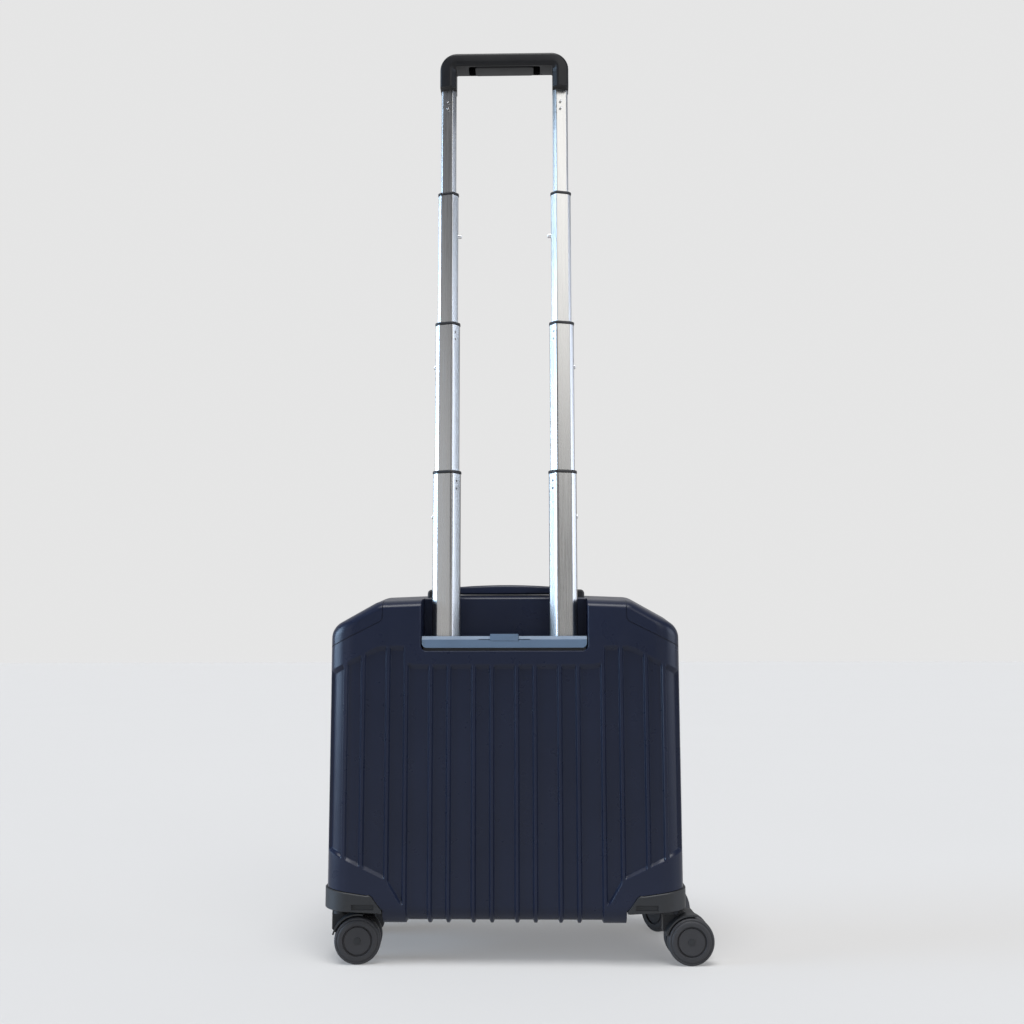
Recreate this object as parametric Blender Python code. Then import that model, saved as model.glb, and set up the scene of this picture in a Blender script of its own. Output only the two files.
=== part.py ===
"""Small hard-shell rolling laptop case with a four-stage trolley handle and four twin-wheel casters.

Frame: +Z up, the handle side (rear) faces -Y, the front shell faces +Y. The origin is the middle of the
whole object's footprint at floor height. All lengths are metres.
"""

from math import cos, pi, radians, sin, sqrt, tan

import bmesh
import bpy
from mathutils import Vector

# Case body
BODY_WIDTH = 0.372
BODY_DEPTH = 0.204
BODY_BOTTOM = 0.0435
BODY_TOP = 0.3835
CROWN_X = 0.045
SHOULDER_X = 0.136
SHOULDER_Z = 0.3800
SIDE_TOP_Z = 0.352
TOP_DRAFT = 0.0075
SIDE_DRAFT = 0.0015
WALL = 0.0025
SEAM_HALF = 0.006
SIDE_ROUND = 0.028
BOTTOM_ROUND = 0.020
TOP_ROUND = 0.010
ROUND_DEPTH = 0.020
GAP = 0.0003
TOOL_SPARE = 0.010

# Raised ribs on the broad faces
RIB_PAIR_CENTRES = (0.0225, 0.0675, 0.1125, 0.1575)
RIB_PAIR_HALF = 0.0095
RIB_WIDTH = 0.0034
RIB_HEIGHT = 0.003
RIB_FOOT = 0.0625
OUTER_RIB_FOOT = 0.095
OUTER_RIB_X = 0.110
RIB_TOPS = (0.304, 0.304, 0.325, 0.309)

# Recess for the trolley handle, in the rear shell
RECESS_HALF = 0.088
RECESS_FLOOR = 0.3195
RECESS_BACK = -0.060
RECESS_CORNER = 0.005
RECESS_OPEN_TOP = 0.41
POCKET_TOP_SINK = 0.0021
HOUSING_TOP = 0.3345

# Trolley handle
TUBE_X = 0.063
TUBE_Y = -0.081
TUBE_HALF_DEPTH = 0.0127
TUBE_WALL = 0.00135
TUBE_ROUND = 0.006
TUBE_LEAST_ROUND = 0.0008
TUBE_WIDTHS = {"outer": 0.0334, "stage_4": 0.030, "stage_3": 0.0265, "stage_2": 0.022, "stage_1": 0.017}
TUBE_TOPS = {"outer": 0.3325, "stage_4": 0.514, "stage_3": 0.680, "stage_2": 0.830, "stage_1": 0.974}
TUBE_LENGTHS = {"outer": 0.272, "stage_4": 0.258, "stage_3": 0.246, "stage_2": 0.232, "stage_1": 0.226}
COLLAR_HEIGHT = 0.003
PIN_DROP = 0.050
PIN_RADIUS = 0.0024
PIN_OUT = {"stage_2": 0.0038, "stage_3": 0.0016, "stage_4": 0.0012}

# Grip at the top of the trolley handle
GRIP_HALF = 0.0725
GRIP_BOTTOM = 0.951
GRIP_TOP = 0.990
GRIP_DEPTH = 0.026
GRIP_LEG = 0.0215
GRIP_BAR = 0.0148
GRIP_EDGE = 0.004
GRIP_ROUND = 0.016
TRIGGER_HALF = 0.036
TRIGGER_DEPTH = 0.008
TRIGGER_BELOW = 0.0022
TRIGGER_ABOVE = 0.008
TRIGGER_SLOT = 0.0125

# Identity tag in the handle housing
TAG_HALF = 0.0138
TAG_THICK = 0.0022
TAG_BOTTOM = 0.262
TAG_TOP = 0.3365

# Carry handle on top of the rear shell
CARRY_Y = -0.033
CARRY_HALF = 0.0785
CARRY_DEPTH = 0.022
CARRY_UNDER = 0.3822
CARRY_TOP = 0.3926
CARRY_DROP = 0.0045
CARRY_MOUNT_END = 0.0870
CARRY_MOUNT_TOP = 0.3873
CARRY_MOUNT_HALF_DEPTH = 0.012
STEM_WIDTH = 0.004
STEM_DEPTH = 0.016
STEM_FOOT = 0.3560

# Casters
WHEEL_RADIUS = 0.024
WHEEL_SIDES = 24
WHEEL_THICK = 0.0132
WHEEL_BORE = 0.0034
AXLE_RADIUS = 0.0031
FORK_HALF = 0.0052
WHEEL_GAP = 0.0006
TRAIL = 0.0188
SWIVEL_X = 0.1714
SWIVEL_Y = 0.080
FORK_TOP = 0.0535
FORK_BACK = 0.0084
FORK_BLADE_TOP = 0.051
HOOD_FOOT = 0.0350
HOOD_WALL = 0.0020
STEM_RADIUS = 0.0050
BRACKET_INNER_X = 0.1256
BRACKET_KNEE_X = 0.1370
BRACKET_PROUD = 0.0016
BRACKET_INNER_Y = 0.0365
BRACKET_WALL = 0.003
BRACKET_FLOOR = 0.0045
BRACKET_INNER_TOP = 0.0560
BRACKET_KNEE_TOP = 0.0705
BRACKET_OUTER_TOP = 0.0775
BRACKET_INNER_LOW = 0.0525
BRACKET_OUTER_LOW = 0.0555
REST_TURN = {"rear_left": 4.0, "rear_right": 3.0, "front_left": -71.0, "front_right": -57.0}

# Inside the case
PANEL_Y = -0.0565
PANEL_THICK = 0.002
SLEEVE_HALF = 0.158
SLEEVE_DEPTH = 0.022
SLEEVE_BOTTOM = 0.086
SLEEVE_TOP = 0.330
SLEEVE_WALL = 0.004
TAPE_THICK = 0.0012
HINGE_TAPE_HALF = 0.011
HINGE_TAPE_LOW = 0.10
HINGE_TAPE_HIGH = 0.32

# Zip hardware on the case's right side
LOCK_CORNERS = ((-0.030, 0.186), (-0.009, 0.186), (-0.009, 0.240), (-0.030, 0.240))
LOCK_PROUD = 0.0032
SLIDER_HALF_WIDTH = 0.0046
SLIDER_HALF_HEIGHT = 0.006
SLIDER_PROUD = 0.0022
SLIDER_HEIGHTS = {"upper": 0.231, "lower": 0.195}

WHEEL_Z = WHEEL_RADIUS * cos(pi / WHEEL_SIDES)
AXLE_HALF = FORK_HALF + WHEEL_GAP + WHEEL_THICK


def wheel_reach(corner, side):
    """How far a resting wheel pair reaches from the case's centre plane, to the right (1) or left (-1)."""
    turn = radians(REST_TURN[corner])
    return SWIVEL_X + (side * TRAIL + WHEEL_RADIUS) * cos(turn) + AXLE_HALF * abs(sin(turn))


# The wheels that reach furthest to the right and left set where the case stands about the origin.
CENTRE_X = -(wheel_reach("rear_right", 1) - wheel_reach("front_left", -1)) / 2

NAVY = (0.030, 0.040, 0.085)
STEEL_BLUE = (0.110, 0.160, 0.250)
CHARCOAL = (0.045, 0.046, 0.050)
ALUMINIUM = (0.42, 0.41, 0.40)
SILVER = (0.62, 0.62, 0.63)
BLACK = (0.018, 0.018, 0.020)
CLOTH = (0.060, 0.062, 0.070)


def clear_scene():
    for obj in list(bpy.data.objects):
        bpy.data.objects.remove(obj, do_unlink=True)


def material(name, colour, roughness, metallic=0.0):
    mat = bpy.data.materials.new(name)
    mat.use_nodes = True
    shader = mat.node_tree.nodes["Principled BSDF"]
    shader.inputs["Base Color"].default_value = (*colour, 1.0)
    shader.inputs["Roughness"].default_value = roughness
    shader.inputs["Metallic"].default_value = metallic
    mat.diffuse_color = (*colour, 1.0)
    return mat


def joint_point(name, place, parent=None):
    """An empty at `place` in the case's own frame. What hangs from it moves about or along that point."""
    obj = bpy.data.objects.new(name, None)
    bpy.context.scene.collection.objects.link(obj)
    obj.parent = parent
    obj.location = Vector(place) - (PLACES[parent.name] if parent else Vector((-CENTRE_X, 0, 0)))
    PLACES[name] = Vector(place)
    return obj


def piece(name, bm, origin, parent, colour, roughness, metallic=0.0, smooth=False):
    """An object made from bm, whose points are in the case's own frame, with its origin at `origin`."""
    bmesh.ops.translate(bm, verts=bm.verts, vec=-Vector(origin))
    bmesh.ops.recalc_face_normals(bm, faces=bm.faces)
    mesh = bpy.data.meshes.new(name)
    bm.to_mesh(mesh)
    bm.free()
    mesh.materials.append(material(name, colour, roughness, metallic))
    if smooth:
        mesh.shade_smooth()
        mesh.set_sharp_from_angle(angle=radians(35))
    obj = bpy.data.objects.new(name, mesh)
    bpy.context.scene.collection.objects.link(obj)
    obj.parent = parent
    obj.location = Vector(origin) - PLACES[parent.name]
    return obj


def boolean(target, tool, operation):
    tool.hide_render = True
    tool.display_type = "WIRE"
    mod = target.modifiers.new(tool.name, "BOOLEAN")
    mod.operation = operation
    mod.object = tool
    mod.solver = "EXACT"


def corner_arc(before, corner, after, radius, steps):
    """Points of the arc that rounds one corner of a polygon."""
    a = (Vector(before) - Vector(corner)).normalized()
    b = (Vector(after) - Vector(corner)).normalized()
    if radius <= 0:
        return [Vector(corner)]
    half = a.angle(b) / 2
    reach = radius / tan(half)
    start = Vector(corner) + a * reach
    end = Vector(corner) + b * reach
    centre = Vector(corner) + (a + b).normalized() * (radius / sin(half))
    first = start - centre
    last = end - centre
    sweep = first.angle(last)
    points = []
    for i in range(steps + 1):
        t = i / steps
        points.append(centre + (first * sin((1 - t) * sweep) + last * sin(t * sweep)) / sin(sweep))
    return points


def rounded(corners, radii, steps):
    """A polygon's outline with each corner rounded by its own radius."""
    count = len(corners)
    points = []
    for i, corner in enumerate(corners):
        points += corner_arc(corners[i - 1], corner, corners[(i + 1) % count], radii[i], steps)
    return points


def offset_corners(corners, offsets):
    """Corners of the counter-clockwise polygon whose edge i (from corner i to i + 1) moved inward."""
    count = len(corners)
    lines = []
    for i, corner in enumerate(corners):
        along = (Vector(corners[(i + 1) % count]) - Vector(corner)).normalized()
        inward = Vector((-along.y, along.x))
        lines.append((Vector(corner) + inward * offsets[i], along))
    moved = []
    for i in range(count):
        (p, a), (q, b) = lines[i - 1], lines[i]
        cross = a.x * b.y - a.y * b.x
        gap = q - p
        moved.append(p + a * ((gap.x * b.y - gap.y * b.x) / cross))
    return moved


def loft(rings, looped=False):
    """A closed solid through rings of equal size. Looped joins the last ring to the first."""
    bm = bmesh.new()
    rows = [[bm.verts.new(point) for point in ring] for ring in rings]
    pairs = list(zip(rows, rows[1:]))
    if looped:
        pairs.append((rows[-1], rows[0]))
    for low, high in pairs:
        for i in range(len(low)):
            j = (i + 1) % len(low)
            bm.faces.new((low[i], low[j], high[j], high[i]))
    if not looped:
        bm.faces.new(rows[0])
        bm.faces.new(rows[-1])
    return bm


def upright(outline, z):
    return [(p[0], p[1], z) for p in outline]


def prism_z(outline, low, high):
    return loft([upright(outline, low), upright(outline, high)])


def prism_y(outline, low, high):
    return loft([[(p[0], y, p[1]) for p in outline] for y in (low, high)])


def block(low, high):
    outline = [(low[0], low[1]), (high[0], low[1]), (high[0], high[1]), (low[0], high[1])]
    return prism_z(outline, low[2], high[2])


def turned(profile, sides, centre, axis, looped=False, flat_down=True):
    """A solid of revolution. The profile holds (radius, height along axis) pairs."""
    axis = Vector(axis).normalized()
    across = axis.orthogonal().normalized() if abs(axis.z) > 0.9 else axis.cross((0, 0, 1)).normalized()
    other = axis.cross(across)
    shift = pi / sides if flat_down else 0.0
    quarter = pi / 2
    rings = []
    for radius, height in profile:
        ring = []
        for i in range(sides):
            turn = 2 * pi * i / sides + shift + quarter
            ring.append(Vector(centre) + axis * height + (across * cos(turn) + other * sin(turn)) * radius)
        rings.append(ring)
    return loft(rings, looped)


# ---------------------------------------------------------------- case shells


def body_corners():
    half = BODY_WIDTH / 2
    right = [(half, BODY_BOTTOM), (half, SIDE_TOP_Z), (SHOULDER_X, SHOULDER_Z)]
    crown = [(CROWN_X, BODY_TOP), (-CROWN_X, BODY_TOP)]
    left = [(-SHOULDER_X, SHOULDER_Z), (-half, SIDE_TOP_Z), (-half, BODY_BOTTOM)]
    return right + crown + left


def body_outline(side, top, bottom):
    """The case's outline seen from the rear, with its edges moved inward."""
    corners = offset_corners(body_corners(), (side, top, top, top, top, top, side, bottom))
    radii = (0.018, 0.020, 0.024, 0.06, 0.06, 0.024, 0.020, 0.018)
    return rounded(corners, [max(r - side * 0.3, 0.004) for r in radii], 3)


def shell_rings(inward, facing):
    """Rings from the seam to the broad face, at `inward` below the outer surface."""
    rings = [(SEAM_HALF, inward, inward, inward)]
    steps = 4
    for i in range(steps + 1):
        turn = pi / 2 * i / steps
        rings.append(
            (
                BODY_DEPTH / 2 - inward - (ROUND_DEPTH - inward) * (1 - sin(turn)),
                inward + SIDE_DRAFT + (SIDE_ROUND - inward) * (1 - cos(turn)),
                inward + TOP_DRAFT + (TOP_ROUND - inward) * (1 - cos(turn)),
                inward + (BOTTOM_ROUND - inward) * (1 - cos(turn)),
            )
        )
    return [[(p.x, facing * y, p.y) for p in body_outline(s, t, b)] for y, s, t, b in rings]


def shell(name, facing, parent, origin):
    outer = shell_rings(0.0, facing)
    inner = shell_rings(WALL, facing)
    bm = loft(outer[::-1] + inner)
    return piece(name, bm, origin, parent, NAVY, 0.38)


def tool(name, bm):
    """A cutter or an added block for a Boolean, which is not itself a part of the case."""
    return piece(name, bm, (0, 0, 0), CASE, SILVER, 0.5)


def rib_bars(facing):
    """One rib's box for each rib of a shell."""
    for centre, top in zip(RIB_PAIR_CENTRES, RIB_TOPS):
        for side in (-1, 1):
            for edge in (-1, 1):
                x = side * (centre + edge * RIB_PAIR_HALF)
                foot = RIB_FOOT if abs(x) < OUTER_RIB_X else OUTER_RIB_FOOT
                face = facing * (BODY_DEPTH / 2 - WALL / 2)
                crest = facing * (BODY_DEPTH / 2 + RIB_HEIGHT)
                low = (x - RIB_WIDTH / 2, min(face, crest), foot)
                high = (x + RIB_WIDTH / 2, max(face, crest), top)
                if abs(x) < BODY_WIDTH / 2 - SIDE_DRAFT - SIDE_ROUND:
                    yield block(low, high)


def add_ribs(shell_object, facing):
    for i, bm in enumerate(rib_bars(facing)):
        boolean(shell_object, tool(f"{shell_object.name}_rib_{i:02d}", bm), "UNION")


def cut_corners(shell_object, facing):
    """Opens the lower corners, where the caster brackets sit."""
    half = BODY_WIDTH / 2 + TOOL_SPARE
    below = BODY_BOTTOM - TOOL_SPARE
    line = [
        (BRACKET_INNER_X - GAP, below),
        (half, below),
        (half, bracket_top(half) + GAP),
        (BRACKET_KNEE_X - GAP, bracket_top(BRACKET_KNEE_X) + GAP),
        (BRACKET_INNER_X - GAP, bracket_top(BRACKET_INNER_X) + GAP),
    ]
    reach = BODY_DEPTH / 2 + TOOL_SPARE
    low, high = sorted((facing * (BRACKET_INNER_Y - GAP), facing * reach))
    for side in (1, -1):
        outline = [(side * x, z) for x, z in line]
        cutter = tool(f"{shell_object.name}_corner_{'right' if side > 0 else 'left'}", prism_y(outline, low, high))
        boolean(shell_object, cutter, "DIFFERENCE")


def tube_corners():
    """The outermost tube's section about its middle, with +x on the side away from the case's centre."""
    a = TUBE_WIDTHS["outer"] / 2
    b = TUBE_HALF_DEPTH
    return [
        (-a, -0.15 * b),
        (-0.42 * a, -b),
        (0.66 * a, -0.62 * b),
        (a, -0.15 * b),
        (a, 0.55 * b),
        (0.66 * a, b),
        (-0.66 * a, b),
        (-a, 0.55 * b),
    ]


def tube_outline(stage, side, inward=0.0):
    """The stage's outline at its place in plan. side is 1 on the right and -1 on the left."""
    shrink = (TUBE_WIDTHS["outer"] - TUBE_WIDTHS[stage]) / 2 + inward
    corners = offset_corners(tube_corners(), [shrink] * 8)
    radius = max(TUBE_ROUND - shrink, TUBE_LEAST_ROUND)
    outline = [(side * (TUBE_X + p.x), TUBE_Y + p.y) for p in rounded(corners, [radius] * 8, 2)]
    return outline if side > 0 else outline[::-1]


def recess_outline(grow):
    half = RECESS_HALF + grow
    floor = RECESS_FLOOR - grow
    corners = [(-half, floor), (half, floor), (half, RECESS_OPEN_TOP), (-half, RECESS_OPEN_TOP)]
    return rounded(corners, (RECESS_CORNER, RECESS_CORNER, 0, 0), 3)


def crown_height(y):
    """Height of the case's top over its centre plane, at distance y from the seam."""
    edge = BODY_DEPTH / 2 - ROUND_DEPTH
    if y <= edge:
        return BODY_TOP - TOP_DRAFT * max(0.0, y - SEAM_HALF) / (edge - SEAM_HALF)
    lean = (y - edge) / ROUND_DEPTH
    return BODY_TOP - TOP_DRAFT - TOP_ROUND * (1 - sqrt(1 - lean * lean))


def pocket_walls():
    """A solid block round the handle recess. Its upper face stays inside the shell's top wall."""
    half = RECESS_HALF + WALL
    near = -RECESS_BACK - WALL
    far = BODY_DEPTH / 2 - WALL / 2
    steps = 8
    outline = [(-far, RECESS_FLOOR - WALL), (-near, RECESS_FLOOR - WALL)]
    for i in range(steps + 1):
        y = near + (far - near) * i / steps
        outline.append((-y, crown_height(y) - POCKET_TOP_SINK))
    return loft([[(x, y, z) for y, z in outline] for x in (-half, half)])


def rear_shell():
    obj = shell("rear_shell", -1, CASE, (0, 0, 0))
    add_ribs(obj, -1)
    boolean(obj, tool("recess_wall", pocket_walls()), "UNION")
    space = prism_y(recess_outline(0.0), -BODY_DEPTH / 2 - TOOL_SPARE, RECESS_BACK)
    boolean(obj, tool("recess_void", space), "DIFFERENCE")
    for side, word in SIDES:
        low, high = RECESS_FLOOR - TOOL_SPARE, RECESS_FLOOR + TOOL_SPARE
        hole = prism_z(tube_outline("outer", side, -GAP), low, high)
        boolean(obj, tool(f"tube_hole_{word}", hole), "DIFFERENCE")
        low, high = stem_box(side, GAP)
        boolean(obj, tool(f"stem_hole_{word}", block(low, high)), "DIFFERENCE")
    slot = block(
        (-TAG_HALF - GAP, TUBE_Y - TAG_THICK / 2 - GAP, RECESS_FLOOR - TOOL_SPARE),
        (TAG_HALF + GAP, TUBE_Y + TAG_THICK / 2 + GAP, RECESS_FLOOR + TOOL_SPARE),
    )
    boolean(obj, tool("tag_slot", slot), "DIFFERENCE")
    cut_corners(obj, -1)


def front_shell(pivot):
    obj = shell("front_shell", 1, pivot, HINGE)
    add_ribs(obj, 1)
    cut_corners(obj, 1)


def zip_tape(name, facing, parent, origin):
    """A cloth ring glued inside the shell's edge, carrying one side of the zip."""
    outside = WALL + GAP
    inside = outside + TAPE_THICK
    near = 0.0004
    far = SEAM_HALF + 0.006
    sink = BODY_TOP - crown_height(far)
    rings = []
    for inward, y in ((outside, near), (outside, far), (inside, far), (inside, near)):
        rings.append([(p.x, facing * y, p.y) for p in body_outline(inward, inward + sink, inward)])
    piece(name, loft(rings, looped=True), origin, parent, CLOTH, 0.9)


def hinge_tape():
    """The cloth strip inside both tapes that lets the front shell open like a book."""
    x = -BODY_WIDTH / 2 + WALL + 2 * GAP + TAPE_THICK
    low = (x, -HINGE_TAPE_HALF, HINGE_TAPE_LOW)
    high = (x + 0.0010, HINGE_TAPE_HALF, HINGE_TAPE_HIGH)
    piece("hinge_tape", block(low, high), (x, 0, HINGE[2]), CASE, CLOTH, 0.9)


def inner_panel_outline(inward):
    """A panel's outline inside the case, stepped clear of the caster brackets."""
    half = BODY_WIDTH / 2 - inward
    low = BODY_BOTTOM + inward
    step_z = bracket_top(BODY_WIDTH / 2) + 0.004
    right = [(BRACKET_INNER_X - 0.006, low), (BRACKET_KNEE_X - 0.004, step_z), (half, step_z), (half, 0.330)]
    corners = right + [(SHOULDER_X, 0.3535), (-SHOULDER_X, 0.3535)]
    corners += [(-x, z) for x, z in right[::-1]]
    radii = (0.003, 0.003, 0.008, 0.010, 0.010, 0.010, 0.010, 0.008, 0.003, 0.003)
    return rounded(corners, radii, 2)


def inside_of_case(pivot):
    panel = prism_y(inner_panel_outline(0.006), PANEL_Y, PANEL_Y + PANEL_THICK)
    piece("rear_lining", panel, (0, PANEL_Y, 0.2), CASE, CLOTH, 0.9)
    far = BODY_DEPTH / 2 - WALL - 0.001
    panel = prism_y(inner_panel_outline(0.028), far - 0.0015, far)
    piece("front_lining", panel, HINGE, pivot, CLOTH, 0.9)
    outer = [(-SLEEVE_HALF, 0), (SLEEVE_HALF, 0), (SLEEVE_HALF, SLEEVE_DEPTH), (-SLEEVE_HALF, SLEEVE_DEPTH)]
    start = PANEL_Y + PANEL_THICK + GAP
    outer = [(x, start + y) for x, y in outer]
    inner = offset_corners(outer, [SLEEVE_WALL] * 4)
    rings = [upright(outer, SLEEVE_BOTTOM), upright(outer, SLEEVE_TOP), upright(inner, SLEEVE_TOP)]
    rings.append(upright(inner, SLEEVE_BOTTOM + SLEEVE_WALL))
    piece("laptop_sleeve", loft(rings), (0, start, 0.2), CASE, CLOTH, 0.9)


def zip_hardware():
    """Lock on the rear shell's right side, and the two zip sliders beside it on the tape."""
    side = BODY_WIDTH / 2
    lock = rounded(LOCK_CORNERS, [0.004] * 4, 3)
    rings = [[(x, p.x, p.y) for p in lock] for x in (side + GAP, side + LOCK_PROUD)]
    piece("zip_lock", loft(rings), (side, LOCK_CORNERS[0][0], LOCK_CORNERS[0][1]), CASE, CHARCOAL, 0.4)
    for word, z in SLIDER_HEIGHTS.items():
        pivot = joint_point(f"slide_{word}", (side, 0, z), CASE)
        low = (side - WALL + GAP, -SLIDER_HALF_WIDTH, z - SLIDER_HALF_HEIGHT)
        bm = block(low, (side + SLIDER_PROUD, SLIDER_HALF_WIDTH, z + SLIDER_HALF_HEIGHT))
        piece(f"zip_slider_{word}", bm, (side, 0, z), pivot, SILVER, 0.3, 1.0)


# ---------------------------------------------------------------- trolley handle


def handle_housing():
    half = RECESS_HALF - 0.0012
    low = RECESS_FLOOR + GAP
    outline = rounded([(-half, low), (half, low), (half, HOUSING_TOP), (-half, HOUSING_TOP)], (0.004, 0.004, 0, 0), 2)
    bm = prism_y(outline, -BODY_DEPTH / 2 - 0.0008, RECESS_BACK - GAP)
    obj = piece("handle_housing", bm, (0, TUBE_Y, HOUSING_TOP), CASE, STEEL_BLUE, 0.45)
    for side, word in SIDES:
        hole = prism_z(tube_outline("outer", side, -GAP), low - TOOL_SPARE, HOUSING_TOP + TOOL_SPARE)
        boolean(obj, tool(f"housing_hole_{word}", hole), "DIFFERENCE")
    slot = block(
        (-TAG_HALF - GAP, TUBE_Y - TAG_THICK / 2 - GAP, low - TOOL_SPARE),
        (TAG_HALF + GAP, TUBE_Y + TAG_THICK / 2 + GAP, HOUSING_TOP + TOOL_SPARE),
    )
    boolean(obj, tool("housing_slot", slot), "DIFFERENCE")


def id_tag():
    pivot = joint_point("tag_slide", (0, TUBE_Y, TAG_BOTTOM), CASE)
    low = (-TAG_HALF, TUBE_Y - TAG_THICK / 2, TAG_BOTTOM)
    bm = block(low, (TAG_HALF, TUBE_Y + TAG_THICK / 2, TAG_TOP))
    piece("id_tag", bm, (0, TUBE_Y, TAG_BOTTOM), pivot, STEEL_BLUE, 0.4)


def tube(stage, side, word, parent):
    top = TUBE_TOPS[stage] - (COLLAR_HEIGHT + GAP if stage in PIN_OUT else 0.0)
    low = TUBE_TOPS[stage] - TUBE_LENGTHS[stage]
    outer = tube_outline(stage, side)
    inner = tube_outline(stage, side, TUBE_WALL)
    rings = [upright(outer, low), upright(outer, top), upright(inner, top), upright(inner, low)]
    name = f"{stage}_tube_{word}"
    return piece(name, loft(rings, looped=True), (side * TUBE_X, TUBE_Y, top), parent, ALUMINIUM, 0.35, 1.0)


def collar(stage, side, word, parent):
    """A plastic ring on the mouth of a stage, a little narrower at its top edge."""
    top = TUBE_TOPS[stage]
    low = top - COLLAR_HEIGHT
    outer = tube_outline(stage, side, -0.0003)
    crown = tube_outline(stage, side, 0.0010)
    inner = tube_outline(stage, side, TUBE_WALL + 0.0001)
    rings = [upright(outer, low), upright(outer, top - 0.0012), upright(crown, top)]
    rings += [upright(inner, top), upright(inner, low)]
    name = f"{stage}_collar_{word}"
    piece(name, loft(rings, looped=True), (side * TUBE_X, TUBE_Y, top), parent, BLACK, 0.5)


def lock_pin(stage, side, word, parent):
    """The stop stud that stands out of a stage's wall. Stage 2 has it on the inner side."""
    out = -1 if stage == "stage_2" else 1
    face = TUBE_X + out * TUBE_WIDTHS[stage] / 2
    z = TUBE_TOPS[stage] - PIN_DROP
    y = TUBE_Y + TUBE_HALF_DEPTH * 0.2
    length = PIN_OUT[stage]
    profile = [(PIN_RADIUS, 0.0), (PIN_RADIUS, length - 0.0004), (PIN_RADIUS * 0.7, length)]
    start = (side * (face + out * 0.0002), y, z)
    bm = turned(profile, 12, start, (side * out, 0, 0))
    piece(f"{stage}_lock_pin_{word}", bm, start, parent, SILVER, 0.3, 1.0, smooth=True)


def telescope():
    """The four sliding stages, each carried by the one below it."""
    for side, word in SIDES:
        tube("outer", side, word, CASE)
    carrier = CASE
    for stage in ("stage_4", "stage_3", "stage_2", "stage_1"):
        carrier = joint_point(f"{stage}_slide", (0, TUBE_Y, TUBE_TOPS[stage]), carrier)
        for side, word in SIDES:
            tube(stage, side, word, carrier)
            if stage in PIN_OUT:
                collar(stage, side, word, carrier)
                lock_pin(stage, side, word, carrier)
    return carrier


def grip(parent):
    """The U-shaped grip, with blind sockets for the top stage and a slot for the release bar."""
    outer = rounded(
        [(-GRIP_HALF, GRIP_BOTTOM), (GRIP_HALF, GRIP_BOTTOM), (GRIP_HALF, GRIP_TOP), (-GRIP_HALF, GRIP_TOP)],
        (0.001, 0.001, GRIP_ROUND, GRIP_ROUND),
        4,
    )
    low, high = TUBE_Y - GRIP_DEPTH / 2, TUBE_Y + GRIP_DEPTH / 2
    middle = (GRIP_BOTTOM + GRIP_TOP) / 2
    slim = []
    for p in outer:
        drop = GRIP_EDGE if p.y > middle else 0.0
        slim.append(Vector((p.x * (1 - GRIP_EDGE / GRIP_HALF), p.y - drop)))
    rings = []
    for y, line in ((low, slim), (low + GRIP_EDGE, outer), (high - GRIP_EDGE, outer), (high, slim)):
        rings.append([(p.x, y, p.y) for p in line])
    obj = piece("grip", loft(rings), (0, TUBE_Y, GRIP_TOP), parent, CHARCOAL, 0.5)
    hand_half = GRIP_HALF - GRIP_LEG
    bar_low = GRIP_TOP - GRIP_BAR
    below = GRIP_BOTTOM - TOOL_SPARE
    gap = rounded(
        [(-hand_half, below), (hand_half, below), (hand_half, bar_low), (-hand_half, bar_low)],
        (0, 0, 0.006, 0.006),
        3,
    )
    boolean(obj, tool("grip_opening", prism_y(gap, low - TOOL_SPARE, high + TOOL_SPARE)), "DIFFERENCE")
    for side, word in SIDES:
        socket = prism_z(tube_outline("stage_1", side, -GAP), below, TUBE_TOPS["stage_1"] + GAP)
        boolean(obj, tool(f"grip_socket_{word}", socket), "DIFFERENCE")
    half = TRIGGER_HALF + GAP
    deep = TRIGGER_DEPTH + GAP
    slot = block((-half, TUBE_Y - deep, below), (half, TUBE_Y + deep, bar_low + TRIGGER_SLOT))
    boolean(obj, tool("trigger_slot", slot), "DIFFERENCE")


def release_trigger(parent):
    bar_low = GRIP_TOP - GRIP_BAR
    pivot = joint_point("trigger_slide", (0, TUBE_Y, bar_low), parent)
    half = TRIGGER_HALF
    deep = TRIGGER_DEPTH
    outline = rounded([(-half, -deep), (half, -deep), (half, deep), (-half, deep)], [0.003] * 4, 2)
    outline = [(p.x, TUBE_Y + p.y) for p in outline]
    bm = prism_z(outline, bar_low - TRIGGER_BELOW, bar_low + TRIGGER_ABOVE)
    piece("release_trigger", bm, (0, TUBE_Y, bar_low), pivot, CHARCOAL, 0.5)


# ---------------------------------------------------------------- carry handle


def surface_top(x):
    """Height of the case's top along the seam, at distance x from the centre plane."""
    return BODY_TOP - (BODY_TOP - SHOULDER_Z) * max(0.0, x - CROWN_X) / (SHOULDER_X - CROWN_X)


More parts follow.
